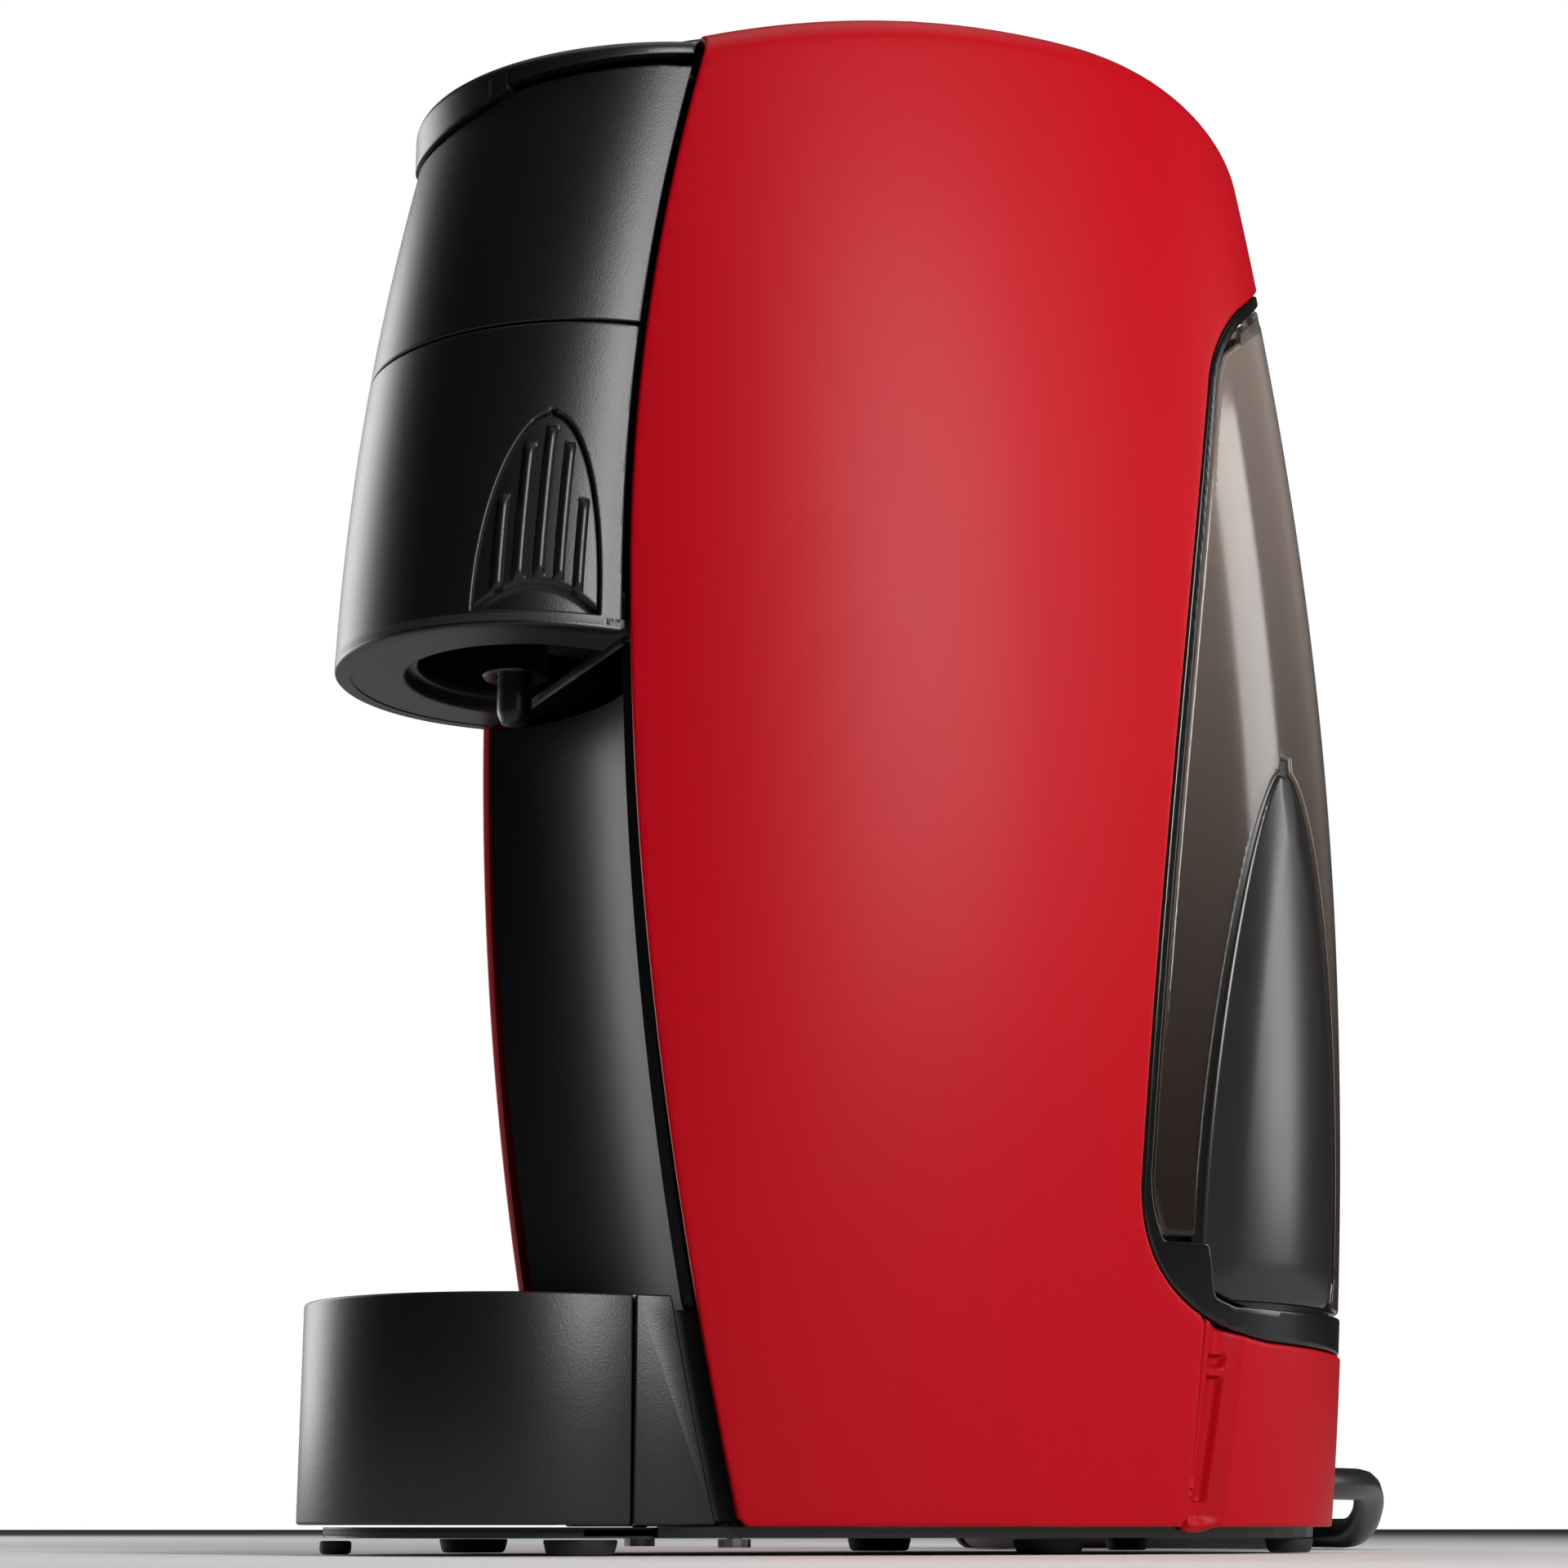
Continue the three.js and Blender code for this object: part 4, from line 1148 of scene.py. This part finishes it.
def capsule_bin():
    edge = 0.55

    def region(p):
        z = p[:, 2]
        f = np.maximum(z - (seam(p[:, 1]) - GAP), HEAD_Z - z)
        f = np.maximum(f, 0.15 - before_edge(p))
        return np.maximum(f, -grip_outline(p)) + edge

    us = np.linspace(-math.pi / 2 - 0.3, math.pi / 2 + 0.3, 300)
    points, faces = net(head(HEAD_R), us, np.linspace(HEAD_Z, SEAM_Z + 8, 120), region)
    skin = wall("bin_wall", points, faces, 3.2, edge, merge=0.05)

    def floor_region(p):
        return grip_outline(p) - 1.0

    parts = [skin]
    for side in (-1, 1):
        us = np.linspace(GRIP_TURN - 0.36, GRIP_TURN + 0.36, 110) * side
        vs = np.linspace(GRIP_FOOT - 1.6, GRIP_FOOT + GRIP_TALL + 2, 96)
        points, faces = net(head(HEAD_R, grip_floor), us, vs, floor_region)
        parts.append(wall("grip_floor", points, faces, 1.2, 0.1, flip=side < 0, steps=1, merge=0.02))

    def under_region(p):
        return np.maximum(p[:, 1] - 5.2, -9) + 0.5

    us = np.linspace(-math.pi / 2 - 0.16, math.pi / 2 + 0.16, 200)
    points, faces = net(head_floor(HEAD_Z + 0.15), us, np.linspace(27.2, 40.2, 14), under_region)
    under = wall("bin_underside", points, faces, 2.4, 0.8, merge=0.05)
    points, faces = net(head_floor(HEAD_Z + 2.6), us, np.linspace(24.4, 27.6, 5), under_region)
    ledge = wall("bin_ledge", points, faces, 1.6, 0.5, merge=0.05)
    points, faces = net(head(26.2), us, np.linspace(HEAD_Z + 2.8, HEAD_Z + 14, 8), under_region)
    collar = wall("bin_collar", points, faces, 1.8, 0.4, flip=True, merge=0.05)
    upper = joined("capsule_bin_wall", parts)
    smooth(upper, 38)
    add(upper, "capsule_bin", "black", BLACK, "capsule_bin")
    lower = joined("capsule_bin_underside", [under, ledge])
    smooth(lower, 38)
    # the underside's lighter tone is painted bounce light from the table below
    add(lower, "capsule_bin", "black", UNDERSIDE_BOUNCE_LIT)
    add(collar, "capsule_bin", "black", DARK)


capsule_bin()


def roof(y):
    return np.interp(y, [-90, -27, -18.5, -17.5, 11, 22], [256, 289.3, 293.8, 295.3, 300.7, 302.0])


def head_fascia():
    edge = 0.45

    def region(p):
        z = p[:, 2]
        f = np.maximum(seam(p[:, 1]) - z, z - roof(p[:, 1]))
        return np.maximum(f, 0.15 - before_edge(p)) + edge

    us = np.linspace(-math.pi / 2 - 0.5, math.pi / 2 + 0.5, 240)
    points, faces = net(head(HEAD_R), us, np.linspace(SEAM_Z - 4, 305, 110), region)
    skin = wall("fascia_wall", points, faces, 2.4, edge, merge=0.05)

    def top_region(p):
        hole = 19.4 - np.hypot(p[:, 0], p[:, 1] - 6)
        return np.maximum(hole, 0.8 - before_edge(p)) + 0.6

    shift = float(head_shift(np.array([297.0]))[0])
    level = head_floor(lambda y: roof(y) - 0.5, shift)
    points, faces = net(level, us, np.linspace(0.5, 40.3, 60), top_region)
    deck = wall("fascia_deck", points, faces, 2.2, 0.6, flip=True, merge=0.05)

    def bore_wall(u, v):
        return np.stack([19.4 * np.cos(u), 6 + 19.4 * np.sin(u), v], 1)

    points, faces = net(bore_wall, np.linspace(0, 2 * math.pi, 97), np.linspace(276, 294.8, 8))
    bore = wall("fascia_bore", points, faces, 1.2, 0.1, flip=True, steps=1)
    fascia = joined("head_fascia_shell", [skin, deck, bore])
    smooth(fascia, 38)
    add(fascia, "chassis", "black", BLACK, "head_fascia")


head_fascia()


# ------------------------------------------------------------------ lever
def lever():
    r, corner = 43.0, 2.0

    def top_z(x, y):
        reach = np.clip((y + 8) / 22, 0, 1)
        rise = 4.6 * np.clip(1 - (x / 37) ** 2, 0, 1) * reach * reach * (3 - 2 * reach)
        return 308.8 - 2.6 * x * x / r**2 + 0.19 * (y - 16) + rise

    def under_z(turn, y):
        return np.where(turn < 37.8, 290.6 + 0.53 * (y + 27), 296.5 + 0.19 * (y + 18.3))

    def surface(u, v):
        turn = np.clip(u, -math.pi / 2, math.pi / 2)
        past = np.abs(u) - np.abs(turn)
        flat, bend, drop = np.clip(v, 0, 1), np.clip(v - 1, 0, 1) * math.pi / 2, np.clip(v - 2, 0, 1)
        reach = (r - corner) * flat + corner * np.sin(bend)
        x = reach * np.sin(turn)
        y = 16 - reach * np.cos(turn) + past * r
        z = top_z(x, y) - corner * (1 - np.cos(bend))
        return np.stack([x, y, z + (289 - z) * drop], 1)

    def region(p):
        x, y, z = p[:, 0], p[:, 1], p[:, 2]
        turn = np.degrees(np.arctan2(np.abs(x), 16 - y))
        side = (np.hypot(x, np.clip(y - 16, None, 0)) > r - 0.05) & (z < top_z(x, y) - corner - 0.2)
        groove = np.minimum(np.abs(turn - 31.4), np.abs(turn - 37.8)) * 0.75 - 0.42
        return np.maximum(np.where(side, -groove, -9), under_z(turn, y) + 0.35 - z)

    us = np.linspace(-math.pi / 2 - 0.02, math.pi / 2 + 0.02, 420)
    vs = np.concatenate([np.linspace(0.02, 1, 26)[:-1], np.linspace(1, 2, 8)[:-1], np.linspace(2, 3, 16)])
    points, faces = net(surface, us, vs, region)
    cap = wall("lever_cap", points, faces, 2.6, 0.35, flip=True, steps=2, merge=0.04)

    def arm_region(p):
        x, y = np.abs(p[:, 0]), p[:, 1]
        f = np.maximum(x - (STRIP - GAP), 13.0 - y)
        f = np.maximum(f, y - 74.8)
        return np.maximum(f, 290 - p[:, 2]) + 0.6

    us = np.linspace(math.pi, 2 * math.pi, 260)
    points, faces = net(body(0.1), us, np.linspace(1.0, 3.0, 90), arm_region)
    arm = wall("lever_arm", points, faces, 3.0, 0.6, merge=0.06)
    hinge_y, hinge_z, _ = HINGE
    knuckle = rod("knuckle", 10.6, (-35.7, hinge_y, hinge_z), (35.7, hinge_y, hinge_z), 96)
    soften(knuckle, 0.6, 3)
    cut(knuckle, rod("pin_way", 2.4, (-50, hinge_y, hinge_z), (50, hinge_y, hinge_z), 32))
    ribs = [block("rib", (x - 0.9, x + 0.9), (20, 72), (306.5, 311.2)) for x in (-24, -8, 8, 24)]
    piece = joined("lever_shell", [cap, arm, knuckle, *ribs])
    smooth(piece, 38)
    add(piece, "lever", "black", BLACK, "lever")


lever()


# ------------------------------------------------------------------ splash panel
def splash_panel():
    edge = 0.7

    def surface(u, v):
        return np.stack([61 * np.sin(u), 61 * np.cos(u) - 45.7 + front_edge(v) + 2.4, v], 1)

    def region(p):
        return np.maximum(np.abs(p[:, 0]) - 40.4, np.maximum(45.1 - p[:, 2], p[:, 2] - 175)) + edge

    points, faces = net(surface, np.linspace(-0.78, 0.78, 120), np.linspace(44, 176, 100), region)
    panel = wall("splash_panel_skin", points, faces, 2.6, edge, flip=True, steps=4, merge=0.05)
    add(panel, "chassis", "gloss_black", PANEL, "splash_panel")


PANEL = plastic("panel_black", (0.006, 0.006, 0.007), 0.42, 0.3, 2200.0, 0.08, **{"Specular IOR Level": 0.22})
splash_panel()


# ------------------------------------------------------------------ drip tray, grid and the base behind them
TRAY_R, TRAY_Z, TRAY_SEAM = 42.2, 47.3, 7.6


def d_form(name, r, back, z0, z1):
    """A D in plan, from z0 to z1: a half round in front and straight sides to back."""
    clear()
    bpy.ops.mesh.primitive_circle_add(vertices=192, radius=r * MM, fill_type="NGON", location=at(0, 0, z0))
    piece = bpy.context.object
    bpy.ops.object.mode_set(mode="EDIT")
    bpy.ops.mesh.select_all(action="SELECT")
    bpy.ops.mesh.bisect(plane_co=at(0, 0, z0), plane_no=(0, 1, 0), use_fill=False, clear_outer=True)
    bm = bmesh.from_edit_mesh(piece.data)
    for e in bm.edges:
        e.select = all(abs(v.co.y) < 1e-6 for v in e.verts)
    bmesh.update_edit_mesh(piece.data)
    bpy.ops.mesh.extrude_region_move(TRANSFORM_OT_translate={"value": (0, back * MM, 0)})
    bpy.ops.mesh.select_all(action="SELECT")
    bpy.ops.mesh.dissolve_limited(angle_limit=0.001)
    bpy.ops.mesh.select_all(action="SELECT")
    bpy.ops.mesh.extrude_region_move(TRANSFORM_OT_translate={"value": (0, 0, (z1 - z0) * MM)})
    bpy.ops.mesh.select_all(action="SELECT")
    bpy.ops.mesh.normals_make_consistent(inside=False)
    bpy.ops.object.mode_set(mode="OBJECT")
    return settle(piece, name)


def drip_tray():
    back = TRAY_SEAM - GAP
    tray = d_form("drip_tray_shell", TRAY_R, back, FLOOR_Z + 0.4, TRAY_Z)
    cut(tray, d_form("well", TRAY_R - 2.4, back - 2.4, 9, TRAY_Z + 5))
    soften(tray, 0.6, 3)
    smooth(tray, 32)
    add(tray, "drip_tray", "black", BLACK, "drip_tray")
    ledge = d_form("tray_ledge", TRAY_R - 2.3, back - 2.3, TRAY_Z - 8, TRAY_Z - 3.6)
    cut(ledge, d_form("opening", TRAY_R - 3.8, back - 3.8, 20, 60))
    soften(ledge, 0.3, 2)
    smooth(ledge, 32)
    add(ledge, "drip_tray", "black", BLACK)

    grid = d_form("drip_grid_plate", TRAY_R - 2.8, back - 2.8, TRAY_Z - 3.2, TRAY_Z - 0.8)
    for x in (-24, -18, -12, -6, 0, 6, 12, 18, 24):
        near = -(31**2 - x**2) ** 0.5 + (5 if x == 0 else 0) + 1.5
        far = (2 if x == 0 else 1) - 1.5
        slot = block("slot", (x - 1.5, x + 1.5), (near, far), (38, 60))
        ends = [rod("end", 1.5, (x, y, 38), (x, y, 60), 24) for y in (near, far)]
        cut(grid, slot, *ends)
    soften(grid, 0.35, 2)
    smooth(grid, 32)
    add(grid, "drip_grid", "steel", STEEL, "drip_grid")


def base():
    skirt = block("base_skirt_shell", (-TRAY_R, TRAY_R), (TRAY_SEAM, 42), (FLOOR_Z + 0.4, TRAY_Z))
    heights = (-6.0, 6.0, 12.0, 18.0, 24.0, 30.0, 36.0, 42.0, 48.0, 60.0)
    slab = [(front_edge(np.array([z]))[0] - 2.6, z) for z in heights]
    cut(skirt, prism("behind", [*slab, (90, 60), (90, -6)], -70, 70))
    cut(skirt, block("inner", (-TRAY_R + 2.4, TRAY_R - 2.4), (-5, 60), (-5, TRAY_Z - 2.4)))
    soften(skirt, 0.6, 3, 50)
    smooth(skirt, 40)
    tall = (FLOOR_Z + 0.8, TRAY_Z - 2.6)
    inner = block("base_skirt_filler", (-TRAY_R + 1.6, TRAY_R - 1.6), (TRAY_SEAM + 1, 38), tall)
    soften(inner, 0.4, 2)
    add(skirt, "chassis", "black", BLACK, "base_skirt")
    add(inner, "chassis", "black", DARK)

    plate = d_form("base_plate_front", 37, 30, 3.0, FLOOR_Z)
    soften(plate, 0.4, 2)
    smooth(plate, 32)
    add(plate, "chassis", "black", DARK)
    pads = (
        ("front_left_foot", -30, 2, 7),
        ("front_right_foot", 30, 2, 7),
        ("middle_left_foot", -37, 98, 7),
        ("middle_right_foot", 37, 98, 7),
        ("rear_left_foot", -32, 158, 5),
        ("rear_right_foot", 32, 158, 5),
    )
    for name, x, y, r in pads:
        rim = [[r - 1.3, 0], [r - 0.75, 0.25], [r - 0.5, 0.7], [r - 0.1, 2.3], [r - 0.2, 2.7]]
        pad = spun(name + "_pad", [[0, 0], *rim, [0, 2.7]], x, y, 48)
        smooth(pad, 40)
        add(pad, "chassis", "rubber", RUBBER, name)
    rim = [[2.3, 0], [2.85, 0.3], [3, 0.9], [3, 2.2], [2.6, 2.5]]
    toe = spun("tray_foot_pad", [[0, 0], *rim, [0, 2.5]], 0, -36, 32)
    smooth(toe, 40)
    add(toe, "chassis", "rubber", RUBBER, "tray_foot")


drip_tray()
base()


# ------------------------------------------------------------------ inside of the head
def brewing_parts():
    tip = [[0, 166.2], [2.3, 166.2], [2.6, 166.4], [3.4, 168.2], [3.6, 169.2], [3.6, 183.6]]
    flange = [[4.2, 184.3], [7.6, 184.3], [8, 184.8], [8, 187.6], [7.6, 188], [0, 188]]
    nozzle = spun("coffee_nozzle_spout", [*tip, *flange], 0, -4, 64)
    smooth(nozzle, 35)
    add(nozzle, "chassis", "black", BLACK, "coffee_nozzle")
    ring = [[3.9, 176.2], [6.4, 176.2], [6.8, 176.6], [6.8, 183.2], [6.4, 183.8], [3.9, 183.8], [3.9, 176.2]]
    collar = spun("nozzle_collar", ring, 0, -4, 48)
    smooth(collar, 35)
    add(collar, "chassis", "black", GLOSS)
    roof_plate = block("head_floor_plate", (-38, 38), (7.6, 30), (176.6, 179))
    wall_plate = block("head_back_plate", (-38, 38), (27.5, 30), (176.6, 236))
    shade = d_form("head_inner_floor", 25.2, 9, 190.2, 191.6)
    cut(shade, rod("funnel_way", 12.5, (0, -4, 180), (0, -4, 200)))
    cheeks = [block("head_side_plate", (x - 0.8, x + 0.8), (5.6, 28), (176.8, 236)) for x in (-37.2, 37.2)]
    for piece in (roof_plate, wall_plate, shade, *cheeks):
        soften(piece, 0.4, 2)
        smooth(piece, 32)
        add(piece, "chassis", "black", DARK)


brewing_parts()


# ------------------------------------------------------------------ cover behind the lever, with its buttons
def top_cover():
    edge = 0.5
    spots = ((100.0, "power_button"), (116.0, "short_cup_button"), (132.0, "long_cup_button"))

    def region(p):
        x, y, z = p[:, 0], p[:, 1], p[:, 2]
        f = np.maximum(np.abs(x) - (bay_limit(y) - GAP), HINGE[0] - y)
        f = np.maximum(f, -tank_space(p))
        for at_y, _ in spots:
            f = np.maximum(f, 6.4 - np.hypot(x, y - at_y))
        return np.maximum(f, 262 - z) + edge

    us = np.linspace(-0.3, math.pi + 0.3, 260)
    points, faces = net(body(), us, np.linspace(0.9, 3.0, 240), region)
    cover = wall("top_cover_skin", points, faces, 2.4, edge, merge=0.05)
    hinge_y, hinge_z, swing = HINGE
    cut(cover, rod("knuckle_way", swing + 0.6, (-60, hinge_y, hinge_z), (60, hinge_y, hinge_z), 96))
    smooth(cover, 38)
    add(cover, "chassis", "black", BLACK, "top_cover")
    for at_y, name in spots:
        top = float(crown(np.array([at_y]))[0]) + 1.2
        dish = [[0, top - 0.35], [2.2, top - 0.3], [4.2, top - 0.05], [5.1, top], [5.75, top - 0.3]]
        side = [[6, top - 0.9], [6, top - 9.4], [7.4, top - 9.4], [7.4, top - 11]]
        pocket = [[5.2, top - 11], [5.2, top - 8.9], [0, top - 8.9]]
        cap = spun(name + "_cap", [*dish, *side, *pocket], 0, at_y, 64)
        smooth(cap, 35)
        first = name == "power_button"
        add(cap, name, "silver" if first else "black", CHROME if first else BLACK, name)


top_cover()


# ------------------------------------------------------------------ studio
def area(name, place, target, size, power, spread=180):
    data = bpy.data.lights.new(name, "AREA")
    data.shape = "RECTANGLE"
    data.size, data.size_y = size
    data.energy = power
    data.spread = math.radians(spread)
    lamp = bpy.data.objects.new(name, data)
    lamp.location = place
    lamp.rotation_euler = (Vector(target) - Vector(place)).to_track_quat("-Z", "Y").to_euler()
    scene.collection.objects.link(lamp)


def studio():
    clear()
    bpy.ops.mesh.primitive_plane_add(size=12, location=(0, 0, -0.0002))
    floor = bpy.context.object
    floor.name = "studio_floor"
    pale = plastic("pale_floor", (0.86, 0.86, 0.86), 0.7, 0.2, 300.0, 0.05, 0.98)
    dress(floor, pale)
    world = bpy.data.worlds.new("studio_air")
    scene.world = world
    world.use_nodes = True
    tree = world.node_tree
    air = tree.nodes["Background"]
    path = tree.nodes.new("ShaderNodeLightPath")
    seen = maths(tree, "MAXIMUM", path.outputs["Is Camera Ray"], path.outputs["Is Transmission Ray"])
    wire(tree, tinted(tree, (0.03, 0.03, 0.032), (1.0, 1.0, 1.0), seen), air.inputs["Color"])
    air.inputs["Strength"].default_value = 1.0
    # a softbox beside the right shell, a tall one in front, a strip behind the tank and a top panel
    area("flank_box", (0.72, 0.14, 0.44), (0.06, 0.0, 0.20), (0.30, 0.42), 1.25, 75)
    area("front_box", (-1.15, -0.62, 0.42), (0.0, -0.03, 0.16), (0.75, 1.1), 13)
    area("rear_strip", (0.35, 0.95, 0.38), (0.0, 0.08, 0.20), (0.25, 0.6), 2.5)
    area("top_panel", (0.0, 0.0, 1.25), (0.0, 0.0, 0.2), (0.9, 0.9), 2.5)


studio()
